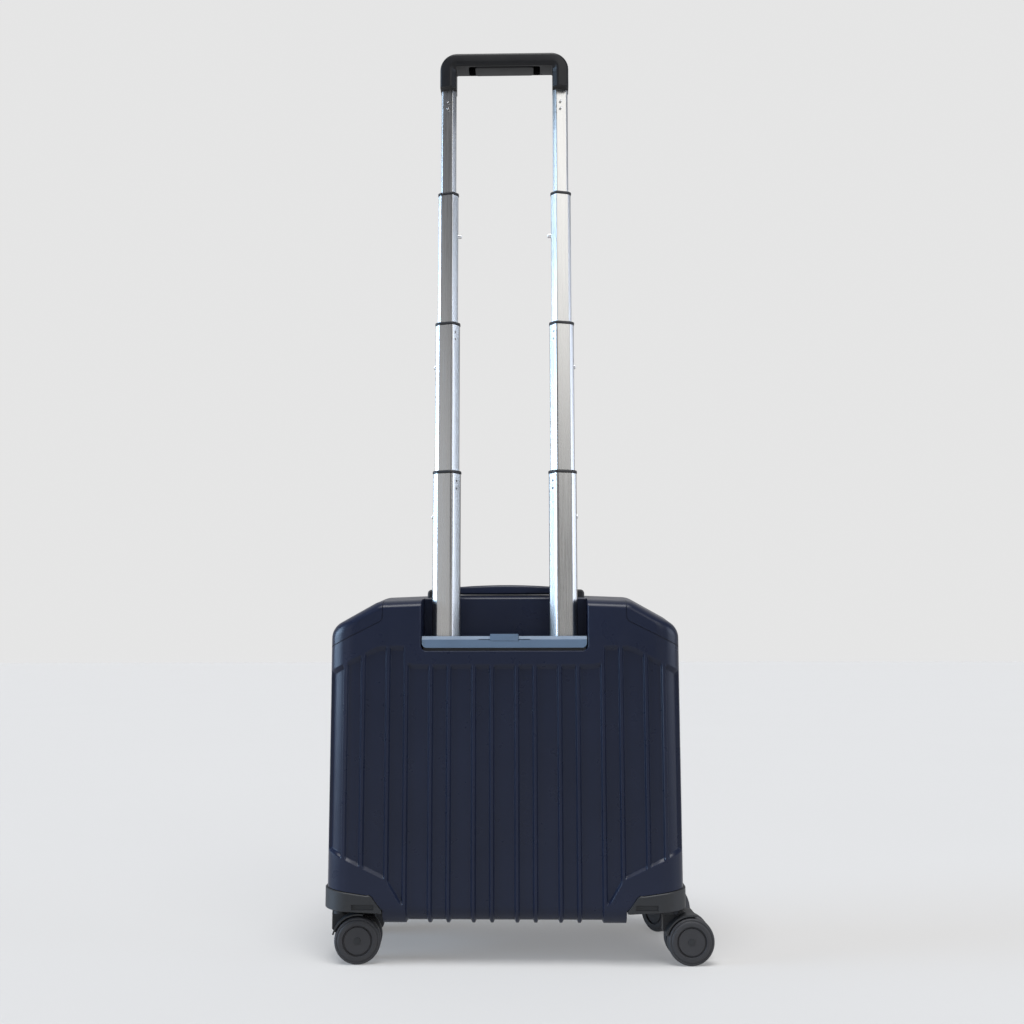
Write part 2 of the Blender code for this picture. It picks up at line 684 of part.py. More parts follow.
def carry_handle():
    """A shallow arch whose two stems slide up through the rear shell's top."""
    pivot = joint_point("carry_slide", (0, CARRY_Y, CARRY_UNDER), CASE)
    steps = 10
    top = []
    for i in range(steps + 1):
        x = -CARRY_HALF + 2 * CARRY_HALF * i / steps
        top.append((x, CARRY_TOP - CARRY_DROP * (x / CARRY_HALF) ** 2))
    outline = [(-CARRY_HALF, CARRY_UNDER), (CARRY_HALF, CARRY_UNDER)] + top[::-1]
    low, high = CARRY_Y - CARRY_DEPTH / 2, CARRY_Y + CARRY_DEPTH / 2
    obj = piece("carry_handle", prism_y(outline, low, high), (0, CARRY_Y, CARRY_UNDER), pivot, NAVY, 0.4)
    for side, word in SIDES:
        low, high = stem_box(side, 0.0)
        boolean(obj, tool(f"carry_stem_{word}", block(low, high)), "UNION")
    for side, word in SIDES:
        near_edge = -CARRY_Y - CARRY_MOUNT_HALF_DEPTH
        base = surface_top(CARRY_HALF) - (BODY_TOP - crown_height(near_edge)) + GAP
        near = CARRY_HALF + GAP
        corners = [(near, base), (CARRY_MOUNT_END, base), (CARRY_MOUNT_END, CARRY_MOUNT_TOP), (near, CARRY_MOUNT_TOP)]
        outline = [(side * p.x, p.y) for p in rounded(corners, (0, 0, 0.004, 0), 3)]
        bm = prism_y(outline, CARRY_Y - CARRY_MOUNT_HALF_DEPTH, CARRY_Y + CARRY_MOUNT_HALF_DEPTH)
        piece(f"carry_mount_{word}", bm, (side * near, CARRY_Y, base), CASE, BLACK, 0.5)


def stem_box(side, grow):
    """Corners of one carry-handle stem, made wider all round by grow."""
    x = side * (CARRY_HALF - STEM_WIDTH / 2)
    low = (x - STEM_WIDTH / 2 - grow, CARRY_Y - STEM_DEPTH / 2 - grow, STEM_FOOT)
    high = (x + STEM_WIDTH / 2 + grow, CARRY_Y + STEM_DEPTH / 2 + grow, CARRY_UNDER + 0.002)
    return low, high


# ---------------------------------------------------------------- casters


def bracket_top(x):
    """Height of a caster bracket's upper edge at distance x from the case's centre plane."""
    if x < BRACKET_KNEE_X:
        share = (x - BRACKET_INNER_X) / (BRACKET_KNEE_X - BRACKET_INNER_X)
        return BRACKET_INNER_TOP + (BRACKET_KNEE_TOP - BRACKET_INNER_TOP) * share
    share = (x - BRACKET_KNEE_X) / (BODY_WIDTH / 2 - BRACKET_KNEE_X)
    return BRACKET_KNEE_TOP + (BRACKET_OUTER_TOP - BRACKET_KNEE_TOP) * share


def bracket_bottom(x):
    share = (x - BRACKET_INNER_X) / (BODY_WIDTH / 2 - BRACKET_INNER_X)
    return BRACKET_INNER_LOW + (BRACKET_OUTER_LOW - BRACKET_INNER_LOW) * share


def bracket_floor(x):
    """Height of the bracket's inside floor."""
    return min(bracket_bottom(x) + BRACKET_FLOOR, bracket_top(x) - 0.0005)


def bracket_plan(inward):
    """The bracket's outline in plan for the right rear corner, as (x, distance from the seam) pairs."""
    outer_x = BODY_WIDTH / 2 + BRACKET_PROUD
    outer_y = BODY_DEPTH / 2 + BRACKET_PROUD
    corners = [
        (BRACKET_INNER_X, BRACKET_INNER_Y),
        (outer_x, BRACKET_INNER_Y),
        (outer_x, outer_y),
        (BRACKET_INNER_X, outer_y),
    ]
    return rounded(offset_corners(corners, [inward] * 4), (0, 0, 0.026 - inward, 0), 5)


def with_knee(outline, knee):
    """The outline with an added point wherever an edge crosses x = knee."""
    points = []
    for i, p in enumerate(outline):
        q = outline[(i + 1) % len(outline)]
        points.append((p[0], p[1]))
        if (p[0] - knee) * (q[0] - knee) < 0:
            t = (knee - p[0]) / (q[0] - p[0])
            points.append((knee, p[1] + (q[1] - p[1]) * t))
    return points


def caster_bracket(name, side, facing, parent, origin):
    outer = with_knee(bracket_plan(0.0), BRACKET_KNEE_X)
    inner = with_knee(bracket_plan(BRACKET_WALL), BRACKET_KNEE_X)

    def ring(outline, height):
        return [(side * x, facing * y, height(x)) for x, y in outline]

    rings = [
        ring(outer, bracket_bottom),
        ring(outer, bracket_top),
        ring(inner, bracket_top),
        ring(inner, bracket_floor),
    ]
    obj = piece(f"{name}_caster_bracket", loft(rings), origin, parent, CHARCOAL, 0.55)
    centre = (side * SWIVEL_X, facing * SWIVEL_Y, 0.045)
    hole = turned([(STEM_RADIUS + 0.0004, 0.0), (STEM_RADIUS + 0.0004, 0.035)], 16, centre, (0, 0, 1))
    boolean(obj, tool(f"{name}_stem_hole", hole), "DIFFERENCE")


def caster_fork(name, pivot, middle, along):
    """Swivel disc and stem on the swivel axis, with one blade down to the axle between the wheels."""
    plate_top = FORK_TOP - 0.0015
    plate_low = FORK_TOP - 0.0049
    axis_radius = 0.0001
    profile = [
        (axis_radius, plate_low),
        (FORK_BACK, plate_low),
        (FORK_BACK, plate_top),
        (STEM_RADIUS, plate_top),
        (STEM_RADIUS, FORK_TOP + 0.0100),
        (axis_radius, FORK_TOP + 0.0100),
    ]
    centre = Vector((middle.x, middle.y, 0))
    obj = piece(f"{name}_caster_fork", turned(profile, 20, centre, (0, 0, 1)), middle, pivot, CHARCOAL, 0.5)
    across = Vector((-along.y, along.x, 0))

    def add(word, outline, half):
        """Joins a plate to the fork: its side view as (distance along, height), and its half width."""
        rings = []
        for shift in (-half, half):
            rings.append([centre + along * u + across * shift + Vector((0, 0, z)) for u, z in outline])
        boolean(obj, tool(f"{name}_{word}", loft(rings)), "UNION")

    blade = [(-FORK_BACK, FORK_BLADE_TOP), (-FORK_BACK, HOOD_FOOT), (TRAIL - 0.009, 0.0185), (TRAIL, 0.0145)]
    blade += [(TRAIL + 0.009, 0.0185), (TRAIL + 0.010, 0.030), (0.0130, FORK_BLADE_TOP)]
    add("blade", blade, FORK_HALF)
    hood_out = -FORK_BACK - 0.0002
    hood_in = HOOD_WALL - FORK_BACK
    hood = [(hood_out, FORK_BLADE_TOP), (hood_out, HOOD_FOOT), (hood_in, HOOD_FOOT), (hood_in, FORK_BLADE_TOP)]
    add("hood", hood, AXLE_HALF - 0.001)
    axle_at = centre + along * TRAIL + Vector((0, 0, WHEEL_Z))
    radius = AXLE_RADIUS + 0.00005
    bore = turned([(radius, -0.02), (radius, 0.02)], 16, axle_at, across)
    boolean(obj, tool(f"{name}_axle_hole", bore), "DIFFERENCE")


def wheel(name, word, pivot, centre, across, out):
    """One of the twin wheels: a rounded tyre with a bore for the axle."""
    start = out * (FORK_HALF + WHEEL_GAP)
    end = out * AXLE_HALF
    round_edge = 0.0025
    profile = [
        (WHEEL_BORE, start),
        (WHEEL_RADIUS - round_edge, start),
        (WHEEL_RADIUS, start + out * round_edge),
        (WHEEL_RADIUS, end - out * round_edge),
        (WHEEL_RADIUS - round_edge, end),
        (WHEEL_BORE, end),
    ]
    bm = turned(profile, WHEEL_SIDES, centre, across, looped=True)
    piece(f"{name}_wheel_{word}", bm, centre, pivot, CHARCOAL, 0.6, smooth=True)


def caster(name, side, facing, carrier, carrier_origin):
    caster_bracket(name, side, facing, carrier, carrier_origin)
    middle = Vector((side * SWIVEL_X, facing * SWIVEL_Y, FORK_TOP))
    pivot = joint_point(f"{name}_swivel", middle, carrier)
    turn = radians(REST_TURN[name])
    along = Vector((cos(turn), sin(turn), 0))
    across = Vector((-along.y, along.x, 0))
    caster_fork(name, pivot, middle, along)
    centre = Vector((middle.x, middle.y, WHEEL_Z)) + along * TRAIL
    reach = AXLE_HALF - 0.0022
    bm = turned([(AXLE_RADIUS, -reach), (AXLE_RADIUS, reach)], 16, centre, across)
    piece(f"{name}_axle", bm, centre, pivot, SILVER, 0.3, 1.0, smooth=True)
    for word, out in (("inner", -1), ("outer", 1)):
        wheel(name, word, pivot, centre, across, out)


# ---------------------------------------------------------------- assembly

clear_scene()
PLACES = {}
SIDES = ((-1, "left"), (1, "right"))
HINGE = (-BODY_WIDTH / 2 - 0.0035, 0.0, 0.21)
CASE = joint_point("case", (0, 0, 0))
PIVOT = joint_point("front_hinge", HINGE, CASE)

rear_shell()
front_shell(PIVOT)
zip_tape("rear_zip_tape", -1, CASE, (0, 0, 0))
zip_tape("front_zip_tape", 1, PIVOT, HINGE)
hinge_tape()
inside_of_case(PIVOT)
zip_hardware()
handle_housing()
id_tag()
TOP_STAGE = telescope()
grip(TOP_STAGE)
release_trigger(TOP_STAGE)
carry_handle()
for side_sign, side_word in SIDES:
    caster(f"rear_{side_word}", side_sign, -1, CASE, (0, 0, 0))
    caster(f"front_{side_word}", side_sign, 1, PIVOT, HINGE)
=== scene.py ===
"""Looks of the small hard-shell rolling laptop case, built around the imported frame."""

from math import asin, cos, hypot, pi, radians, sin, sqrt, tan

import bmesh
import bpy
from mathutils import Matrix, Vector


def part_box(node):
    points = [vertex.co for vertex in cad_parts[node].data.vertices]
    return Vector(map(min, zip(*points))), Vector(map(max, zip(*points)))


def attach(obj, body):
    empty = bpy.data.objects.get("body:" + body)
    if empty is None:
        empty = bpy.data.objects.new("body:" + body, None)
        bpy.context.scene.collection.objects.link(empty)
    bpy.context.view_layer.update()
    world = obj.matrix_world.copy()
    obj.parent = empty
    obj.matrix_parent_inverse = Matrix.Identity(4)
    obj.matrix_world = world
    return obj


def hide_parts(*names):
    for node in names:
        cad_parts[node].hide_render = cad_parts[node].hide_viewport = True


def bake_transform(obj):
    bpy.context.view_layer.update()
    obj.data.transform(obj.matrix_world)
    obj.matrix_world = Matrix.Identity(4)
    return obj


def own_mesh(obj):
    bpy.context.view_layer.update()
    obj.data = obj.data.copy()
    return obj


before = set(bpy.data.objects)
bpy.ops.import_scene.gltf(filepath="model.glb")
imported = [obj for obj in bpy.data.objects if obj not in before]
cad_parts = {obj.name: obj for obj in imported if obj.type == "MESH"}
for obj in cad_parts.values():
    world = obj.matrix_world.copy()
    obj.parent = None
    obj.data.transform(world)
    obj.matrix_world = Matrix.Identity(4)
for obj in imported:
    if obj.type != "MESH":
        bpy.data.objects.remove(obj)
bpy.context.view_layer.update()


def span(node, axis):
    """Lowest and highest coordinate of a CAD node along an axis."""
    low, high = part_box(node)
    return low[axis], high[axis]


# The case's centre plane stands at x = CENTRE. Pieces are made about it and moved there at the end.
CENTRE = sum(span("handle_housing", 0)) / 2
SIDES = ((-1, "left"), (1, "right"))

# Shell, as in the CAD, with the ribs' crests level with the rim that frames the panels
HALF = 0.186
FACE = 0.105
BOTTOM = 0.0405
TOP = 0.3835
CROWN_X = 0.045
SHOULDER = (0.136, 0.38)
SIDE_TOP = 0.352
TOP_DRAFT = 0.0075
SIDE_DRAFT = 0.0015
SIDE_ROUND = 0.028
BOTTOM_ROUND = 0.02
TOP_ROUND = 0.01
ROUND_DEPTH = 0.02
SEAM_HALF = 0.006
WALL = 0.0025
RIB_HEIGHT = 0.003
FLAT_HALF = HALF - SIDE_DRAFT - SIDE_ROUND
ARC_LENGTH = 0.038
RIBS = (0.013, 0.032, 0.058, 0.077, 0.103, 0.122, 0.148, 0.167)
CREST_HALF = 0.001
FLANK = 0.0021


# ------------ geometry helpers


def corner_arc(before, corner, after, radius, steps):
    """Points of the arc that rounds one corner of a polygon."""
    corner = Vector(corner)
    if radius <= 0:
        return [corner]
    a = (Vector(before) - corner).normalized()
    b = (Vector(after) - corner).normalized()
    half = a.angle(b) / 2
    start = corner + a * (radius / tan(half))
    end = corner + b * (radius / tan(half))
    centre = corner + (a + b).normalized() * (radius / sin(half))
    first, last = start - centre, end - centre
    sweep = first.angle(last)
    return [
        centre + (first * sin((1 - i / steps) * sweep) + last * sin(i / steps * sweep)) / sin(sweep)
        for i in range(steps + 1)
    ]


def rounded(corners, radii, steps):
    """A polygon's outline with each corner rounded by its own radius."""
    count = len(corners)
    points = []
    for i, corner in enumerate(corners):
        points += corner_arc(corners[i - 1], corner, corners[(i + 1) % count], radii[i], steps)
    return points


def offset_corners(corners, offsets):
    """Corners of the counter-clockwise polygon whose edge i (from corner i to i + 1) moved inward."""
    count = len(corners)
    lines = []
    for i, corner in enumerate(corners):
        along = (Vector(corners[(i + 1) % count]) - Vector(corner)).normalized()
        lines.append((Vector(corner) + Vector((-along.y, along.x)) * offsets[i], along))
    moved = []
    for i in range(count):
        (p, a), (q, b) = lines[i - 1], lines[i]
        gap = q - p
        moved.append(p + a * ((gap.x * b.y - gap.y * b.x) / (a.x * b.y - a.y * b.x)))
    return moved


def add_grid(bm, rows, closed_rows=False, closed_columns=False):
    """Quads through rows of points. Returns the vertices, row by row."""
    verts = [[bm.verts.new(point) for point in row] for row in rows]
    pairs = list(zip(verts, verts[1:]))
    if closed_rows:
        pairs.append((verts[-1], verts[0]))
    for low, high in pairs:
        last = len(low) if closed_columns else len(low) - 1
        for i in range(last):
            j = (i + 1) % len(low)
            bm.faces.new((low[i], low[j], high[j], high[i]))
    return verts


def loft(rings, looped=False, bm=None):
    """A closed solid through rings of equal size. Looped joins the last ring to the first."""
    bm = bm or bmesh.new()
    verts = add_grid(bm, rings, closed_rows=looped, closed_columns=True)
    if not looped:
        bm.faces.new(verts[0])
        bm.faces.new(verts[-1])
    return bm


def add_slab(bm, low, high):
    """A closed solid between two grids of equal size."""
    a = add_grid(bm, low)
    b = add_grid(bm, high)
    rim_a = a[0] + [row[-1] for row in a[1:]] + a[-1][-2::-1] + [row[0] for row in a[-2:0:-1]]
    rim_b = b[0] + [row[-1] for row in b[1:]] + b[-1][-2::-1] + [row[0] for row in b[-2:0:-1]]
    count = len(rim_a)
    for i in range(count):
        j = (i + 1) % count
        bm.faces.new((rim_a[i], rim_a[j], rim_b[j], rim_b[i]))


def prism_y(outline, low, high, bm=None):
    return loft([[(p[0], y, p[1]) for p in outline] for y in (low, high)], bm=bm)


def prism_z(outline, low, high, bm=None):
    return loft([[(p[0], p[1], z) for p in outline] for z in (low, high)], bm=bm)


def prism_x(outline, low, high, bm=None):
    """A bar along x. The outline holds (y, z) pairs."""
    return loft([[(x, p[0], p[1]) for p in outline] for x in (low, high)], bm=bm)


def rectangle(x0, y0, x1, y1):
    return [(x0, y0), (x1, y0), (x1, y1), (x0, y1)]


def block(low, high, radius=0.0, bm=None):
    """A box with its four upright edges rounded."""
    corners = rectangle(low[0], low[1], high[0], high[1])
    return prism_z(rounded(corners, [radius] * 4, 4), low[2], high[2], bm=bm)


def side_block(side, low, high, radius=0.0, bm=None):
    """A block given as it stands on the right, mirrored when side is -1."""
    x0, x1 = sorted((side * low[0], side * high[0]))
    return block((x0, low[1], low[2]), (x1, high[1], high[2]), radius, bm=bm)


def pillow(low, high, radius, edge, bm=None):
    """A box with upright edges of one radius and its upper and lower rims rounded by `edge`."""
    corners = rectangle(low[0], low[1], high[0], high[1])
    rings = []
    for i in (0, 1, 2, 3, 5, 6, 7, 8):
        turn = pi * i / 8
        inward = edge * (1 - sin(turn))
        z = low[2] + edge * (1 - cos(turn)) if i < 4 else high[2] - edge * (1 + cos(turn))
        line = rounded(offset_corners(corners, [inward] * 4), [max(radius - inward, 0.0003)] * 4, 5)
        rings.append([(p.x, p.y, z) for p in line])
    middle = rounded(corners, [radius] * 4, 5)
    rings[4:4] = [[(p.x, p.y, z) for p in middle] for z in (low[2] + edge, high[2] - edge)]
    return loft(rings, bm=bm)


def turned(profile, sides, centre, axis, looped=False, bm=None):
    """A solid of revolution. The profile holds (radius, height along axis) pairs."""
    axis = Vector(axis).normalized()
    across = axis.orthogonal().normalized()
    other = axis.cross(across)
    rings = []
    for radius, height in profile:
        ring = []
        for i in range(sides):
            turn = 2 * pi * i / sides
            ring.append(Vector(centre) + axis * height + (across * cos(turn) + other * sin(turn)) * radius)
        rings.append(ring)
    return loft(rings, looped, bm=bm)


def smooth_step(t):
    t = min(1.0, max(0.0, t))
    return t * t * (3 - 2 * t)


def mesh_object(name, bm):
    bmesh.ops.recalc_face_normals(bm, faces=bm.faces)
    mesh = bpy.data.meshes.new(name)
    bm.to_mesh(mesh)
    bm.free()
    obj = bpy.data.objects.new(name, mesh)
    bpy.context.scene.collection.objects.link(obj)
    return obj


def cut(obj, *tools):
    carve(obj, [("DIFFERENCE", tool) for tool in tools])


def join(obj, *tools):
    carve(obj, [("UNION", tool) for tool in tools])


def carve(obj, operations):
    """Applies Booleans in order. Each operation is a pair of its kind and the tool's bmesh."""
    cutters = []
    for kind, bm in operations:
        cutters.append(mesh_object("cutter", bm))
        mod = obj.modifiers.new("cut", "BOOLEAN")
        mod.operation = kind
        mod.object = cutters[-1]
        mod.solver = "EXACT"
    graph = bpy.context.evaluated_depsgraph_get()
    mesh = bpy.data.meshes.new_from_object(obj.evaluated_get(graph))
    obj.modifiers.clear()
    obj.data = mesh
    for cutter in cutters:
        bpy.data.objects.remove(cutter, do_unlink=True)


def finish_piece(obj, mat, body, node=None, sharp=32, bevel=0.0, weighted=False):
    """Gives a piece its material, shading and body. The mesh moves to the case's centre plane."""
    mesh = obj.data
    mesh.transform(Matrix.Translation((CENTRE, 0, 0)))
    mesh.materials.clear()
    mesh.materials.append(mat)
    mesh.shade_smooth()
    mesh.set_sharp_from_angle(angle=radians(sharp))
    if bevel:
        mod = obj.modifiers.new("edges", "BEVEL")
        mod.width = bevel
        mod.segments = 2
        mod.limit_method = "ANGLE"
        mod.angle_limit = radians(sharp)
        mod.harden_normals = True
    if weighted:
        mod = obj.modifiers.new("normals", "WEIGHTED_NORMAL")
        mod.keep_sharp = True
        mod.weight = 80
    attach(obj, body)
    if node:
        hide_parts(node)
    return obj


def piece(name, bm, mat, body, **options):
    return finish_piece(mesh_object(name, bm), mat, body, **options)


# ------------ materials


def add_node(tree, kind, values=None, links=None, **settings):
    """Adds a shader node: first its settings, then its input values and the links into it."""
    node = tree.nodes.new("ShaderNode" + kind)
    for name, value in settings.items():
        setattr(node, name, value)
    for socket, value in (values or {}).items():
        node.inputs[socket].default_value = value
    for socket, source in (links or {}).items():
        tree.links.new(source, node.inputs[socket])
    return node


def new_material(name, colour, roughness, metallic=0.0, specular=0.5, sheen=0.0):
    mat = bpy.data.materials.new(name)
    mat.use_nodes = True
    shader = mat.node_tree.nodes["Principled BSDF"]
    shader.inputs["Base Color"].default_value = (*colour, 1.0)
    shader.inputs["Roughness"].default_value = roughness
    shader.inputs["Metallic"].default_value = metallic
    shader.inputs["Specular IOR Level"].default_value = specular
    shader.inputs["Sheen Weight"].default_value = sheen
    return mat, shader


def scaled(colour, share):
    return tuple(min(1.0, c * share) for c in colour)


def noise(tree, size, detail=3.0, scale=(1, 1, 1)):
    place = add_node(tree, "TexCoord")
    mapping = add_node(tree, "Mapping", {"Scale": scale}, {"Vector": place.outputs["Object"]})
    values = {"Scale": size, "Detail": detail, "Roughness": 0.55}
    return add_node(tree, "TexNoise", values, {"Vector": mapping.outputs["Vector"]}).outputs["Fac"]


def spread(tree, value, low, high):
    """The value, from its usual 0.3 to 0.7, stretched to between low and high."""
    values = {"From Min": 0.3, "From Max": 0.7, "To Min": low, "To Max": high}
    return add_node(tree, "MapRange", values, {"Value": value}).outputs["Result"]


def tint(tree, value, dark, light):
    values = {"A": (*dark, 1.0), "B": (*light, 1.0)}
    return add_node(tree, "Mix", values, {"Factor": value}, data_type="RGBA").outputs["Result"]


def add_bump(tree, shader, height, strength, distance):
    node = add_node(tree, "Bump", {"Strength": strength, "Distance": distance}, {"Height": height})
    tree.links.new(node.outputs["Normal"], shader.inputs["Normal"])


def moulded(name, colour, roughness, grain=2600.0, depth=0.00003, **options):
    """Moulded plastic: a fine grain, and slow changes of colour and gloss."""
    mat, shader = new_material(name, colour, roughness, **options)
    tree = mat.node_tree
    slow = spread(tree, noise(tree, 9.0, detail=4.0), 0, 1)
    tree.links.new(tint(tree, slow, scaled(colour, 0.9), scaled(colour, 1.1)), shader.inputs["Base Color"])
    patch = noise(tree, 60.0)
    tree.links.new(spread(tree, patch, roughness - 0.035, roughness + 0.035), shader.inputs["Roughness"])
    add_bump(tree, shader, noise(tree, grain, detail=2.0), 0.35, depth)
    return mat


def brushed(name, colour, roughness):
    """Drawn and anodised metal with fine streaks along the tube."""
    mat, shader = new_material(name, colour, roughness, metallic=1.0)
    tree = mat.node_tree
    lines = noise(tree, 2500.0, detail=2.0, scale=(1, 1, 0.006))
    streaks = tint(tree, spread(tree, lines, 0, 1), scaled(colour, 0.93), scaled(colour, 1.05))
    tree.links.new(streaks, shader.inputs["Base Color"])
    tree.links.new(spread(tree, lines, roughness - 0.05, roughness + 0.06), shader.inputs["Roughness"])
    add_bump(tree, shader, lines, 0.1, 0.00002)
    return mat


def woven(name, dark, light, pitch, roughness=0.85):
    """Plain weave: two crossed sets of threads along the object's axes."""
    mat, shader = new_material(name, light, roughness, sheen=0.25, specular=0.25)
    tree = mat.node_tree
    place = add_node(tree, "TexCoord")
    parts = add_node(tree, "SeparateXYZ", links={"Vector": place.outputs["Object"]})

    def combine(kind, a, b=None, values=None):
        links = {0: a} if b is None else {0: a, 1: b}
        return add_node(tree, "Math", values, links, operation=kind).outputs["Value"]

    turns = {1: 2 * pi / pitch}
    flat = combine("ADD", parts.outputs["X"], parts.outputs["Y"])
    warp = combine("SINE", combine("MULTIPLY", flat, values=turns))
    weft = combine("SINE", combine("MULTIPLY", parts.outputs["Z"], values=turns))
    height = combine("MULTIPLY_ADD", combine("MULTIPLY", warp, weft), values={1: 0.5, 2: 0.5})
    mixed = combine("MULTIPLY", height, combine("ADD", noise(tree, 900.0), values={1: 0.5}))
    tree.links.new(tint(tree, mixed, dark, light), shader.inputs["Base Color"])
    add_bump(tree, shader, mixed, 0.6, 0.0002)
    return mat


NAVY = moulded("shell_satin_navy", (0.0092, 0.0132, 0.03), 0.3, depth=0.00001, specular=0.25)
BAR_BLUE = moulded("housing_steel_blue", (0.098, 0.148, 0.218), 0.42, specular=0.35)
CHARCOAL = moulded("charcoal_nylon", (0.02, 0.021, 0.023), 0.52, grain=1500.0, depth=0.00005, specular=0.35)
GRIP_BLACK = moulded("soft_touch_black", (0.009, 0.009, 0.01), 0.42, grain=1900.0, depth=0.00004, specular=0.25)
BLACK = moulded("black_trim", (0.012, 0.012, 0.014), 0.45)
TYRE = moulded("tyre_charcoal", (0.031, 0.031, 0.034), 0.58, grain=1300.0, depth=0.00006, specular=0.35)
TUBE_METAL = brushed("titanium_grey_aluminium", (0.47, 0.465, 0.45), 0.28)
STEEL = brushed("polished_steel", (0.72, 0.72, 0.73), 0.2)
TAPE = woven("zip_tape_weave", (0.012, 0.014, 0.02), (0.035, 0.038, 0.05), 0.0012)
LINING = woven("lining_weave", (0.03, 0.036, 0.055), (0.075, 0.085, 0.115), 0.0009, roughness=0.7)
PADDING = woven("padding_weave", (0.022, 0.025, 0.034), (0.06, 0.065, 0.08), 0.0015)


# ------------ shells


def body_corners():
    right = [(HALF, BOTTOM), (HALF, SIDE_TOP), SHOULDER]
    crown = [(CROWN_X, TOP), (-CROWN_X, TOP)]
    left = [(-SHOULDER[0], SHOULDER[1]), (-HALF, SIDE_TOP), (-HALF, BOTTOM)]
    return right + crown + left


def body_outline(side, top, bottom, steps=8):
    """The case's outline seen from the rear, with its edges moved inward."""
    corners = offset_corners(body_corners(), (side, top, top, top, top, top, side, bottom))
    radii = (0.018, 0.02, 0.024, 0.06, 0.06, 0.024, 0.02, 0.018)
    return rounded(corners, [max(r - side * 0.3, 0.004) for r in radii], steps)


def round_ring(turn, deep, wall):
    """One ring of the edge's round: its depth, and how far in its sides, top and bottom stand."""
    bend = 1 - cos(turn)
    return (
        FACE - deep - (ROUND_DEPTH - deep) * (1 - sin(turn)),
        deep + SIDE_DRAFT + (SIDE_ROUND - deep) * bend,
        wall + TOP_DRAFT + (TOP_ROUND - wall) * bend,
        deep + (BOTTOM_ROUND - deep) * bend,
    )


def shell_rings(facing):
    """Rings from the face round the edge to the seam, then inside back to the face."""
    steps, deep, lip = 20, WALL + RIB_HEIGHT, 0.0008
    turns = [pi / 2 * i / steps for i in range(steps + 1)]
    outer = [round_ring(turn, 0.0, 0.0) for turn in turns[::-1]]
    rim = [(SEAM_HALF + lip, 0, 0, 0), (SEAM_HALF, lip, lip, lip)]
    back = [(SEAM_HALF, WALL, WALL, WALL), (0.0135, WALL, WALL, WALL), (0.016, deep, WALL, deep)]
    rings = outer + rim + back + [round_ring(turn, deep, WALL) for turn in turns[::4]]
    return [[(p.x, facing * y, p.y) for p in body_outline(s, t, b)] for y, s, t, b in rings]


def plan_point(s):
    """Right half of the shell's plan at distance s along it from the centre: x, depth and normal."""
    if s <= FLAT_HALF:
        return s, FACE, 0.0, 1.0
    turn = (s - FLAT_HALF) / ARC_LENGTH * pi / 2
    nx, ny = sin(turn) / SIDE_ROUND, cos(turn) / ROUND_DEPTH
    size = hypot(nx, ny)
    x = FLAT_HALF + SIDE_ROUND * sin(turn)
    return x, FACE - ROUND_DEPTH * (1 - cos(turn)), nx / size, ny / size


def plan_distance(x):
    """Distance along the plan at which the shell reaches x."""
    if x <= FLAT_HALF:
        return x
    return FLAT_HALF + ARC_LENGTH * asin(min(1.0, (x - FLAT_HALF) / SIDE_ROUND)) / (pi / 2)


def drop_point(t):
    """The shell's upright section at distance t below the start of the bottom round: depth, z, normal."""
    if t <= 0:
        return FACE, BOTTOM + BOTTOM_ROUND - t, 1.0, 0.0
    turn = t / BOTTOM_ROUND
    if turn <= pi / 2:
        depth, z = FACE - ROUND_DEPTH * (1 - cos(turn)), BOTTOM + BOTTOM_ROUND * (1 - sin(turn))
        return depth, z, cos(turn), -sin(turn)
    return FACE - ROUND_DEPTH - (t - BOTTOM_ROUND * pi / 2), BOTTOM, 0.0, -1.0


def spaced(low, high, flank_low, flank_high, middle):
    """Stations from low to high, close together over the flanks, with `middle` equal steps between them."""
    shares = (0.0, 0.08, 0.18, 0.3, 0.42, 0.54, 0.66, 0.78, 0.9, 1.0)
    first = [low + flank_low * f for f in shares]
    last = [high - flank_high * f for f in shares[::-1]]
    between = [first[-1] + (last[0] - first[-1]) * i / middle for i in range(1, middle)]
    return first + between + last


def ramp(distance, length, soft=0.6):
    """Rises from 0 to 1 over a length, partly straight and partly eased."""
    t = min(1.0, max(0.0, distance / length))
    return soft * smooth_step(t) + (1 - soft) * t


PROUD = 0.00004
COVER = 0.01
CAP = 0.006
FOOT = 0.0045


def hollow(across, along_top, along_foot):
    """Depth of a panel at given distances from its sides and its ends."""
    return (RIB_HEIGHT + PROUD) * ramp(across, FLANK, 1.0) * ramp(along_top, CAP) * ramp(along_foot, FOOT)


def add_panel(bm, side, facing, columns):
    """A panel's tool. Each column lists points on the shell, their normals and how far the floor sinks."""

    def lifted(point, normal, lift):
        x, y, z = (p + n * lift for p, n in zip(point, normal))
        return side * x, facing * y, z

    low_rows = [[lifted(point, normal, sink) for point, normal, sink in column] for column in columns]
    high_rows = [[lifted(point, normal, COVER) for point, normal, _ in column] for column in columns]
    add_slab(bm, low_rows, high_rows)


def central_panel(bm, facing, left, right, flare):
    """One upright panel that runs down the face and under the bottom edge."""
    end = BOTTOM_ROUND * pi / 2 + 0.035
    columns = []
    for x in spaced(left, right, FLANK, FLANK, 3):
        rise = flare * smooth_step((abs(x) - (abs(left + right) / 2 + 0.006)) / 0.009)
        start = BOTTOM + BOTTOM_ROUND - (CENTRAL_TOP + rise)
        down = spaced(start, 0.0, CAP, 0.0001, 8)[:-9]
        down += [end * i / 26 for i in range(1, 22)] + [end - FOOT * f for f in (0.8, 0.6, 0.4, 0.2, 0.0)]
        column = []
        for t in down:
            depth, z, ny, nz = drop_point(t)
            sink = PROUD - hollow(min(x - left, right - x), t - start, end - t)
            column.append(((x, depth, z), (0.0, ny, nz), sink))
        columns.append(column)
    add_panel(bm, 1, facing, columns)


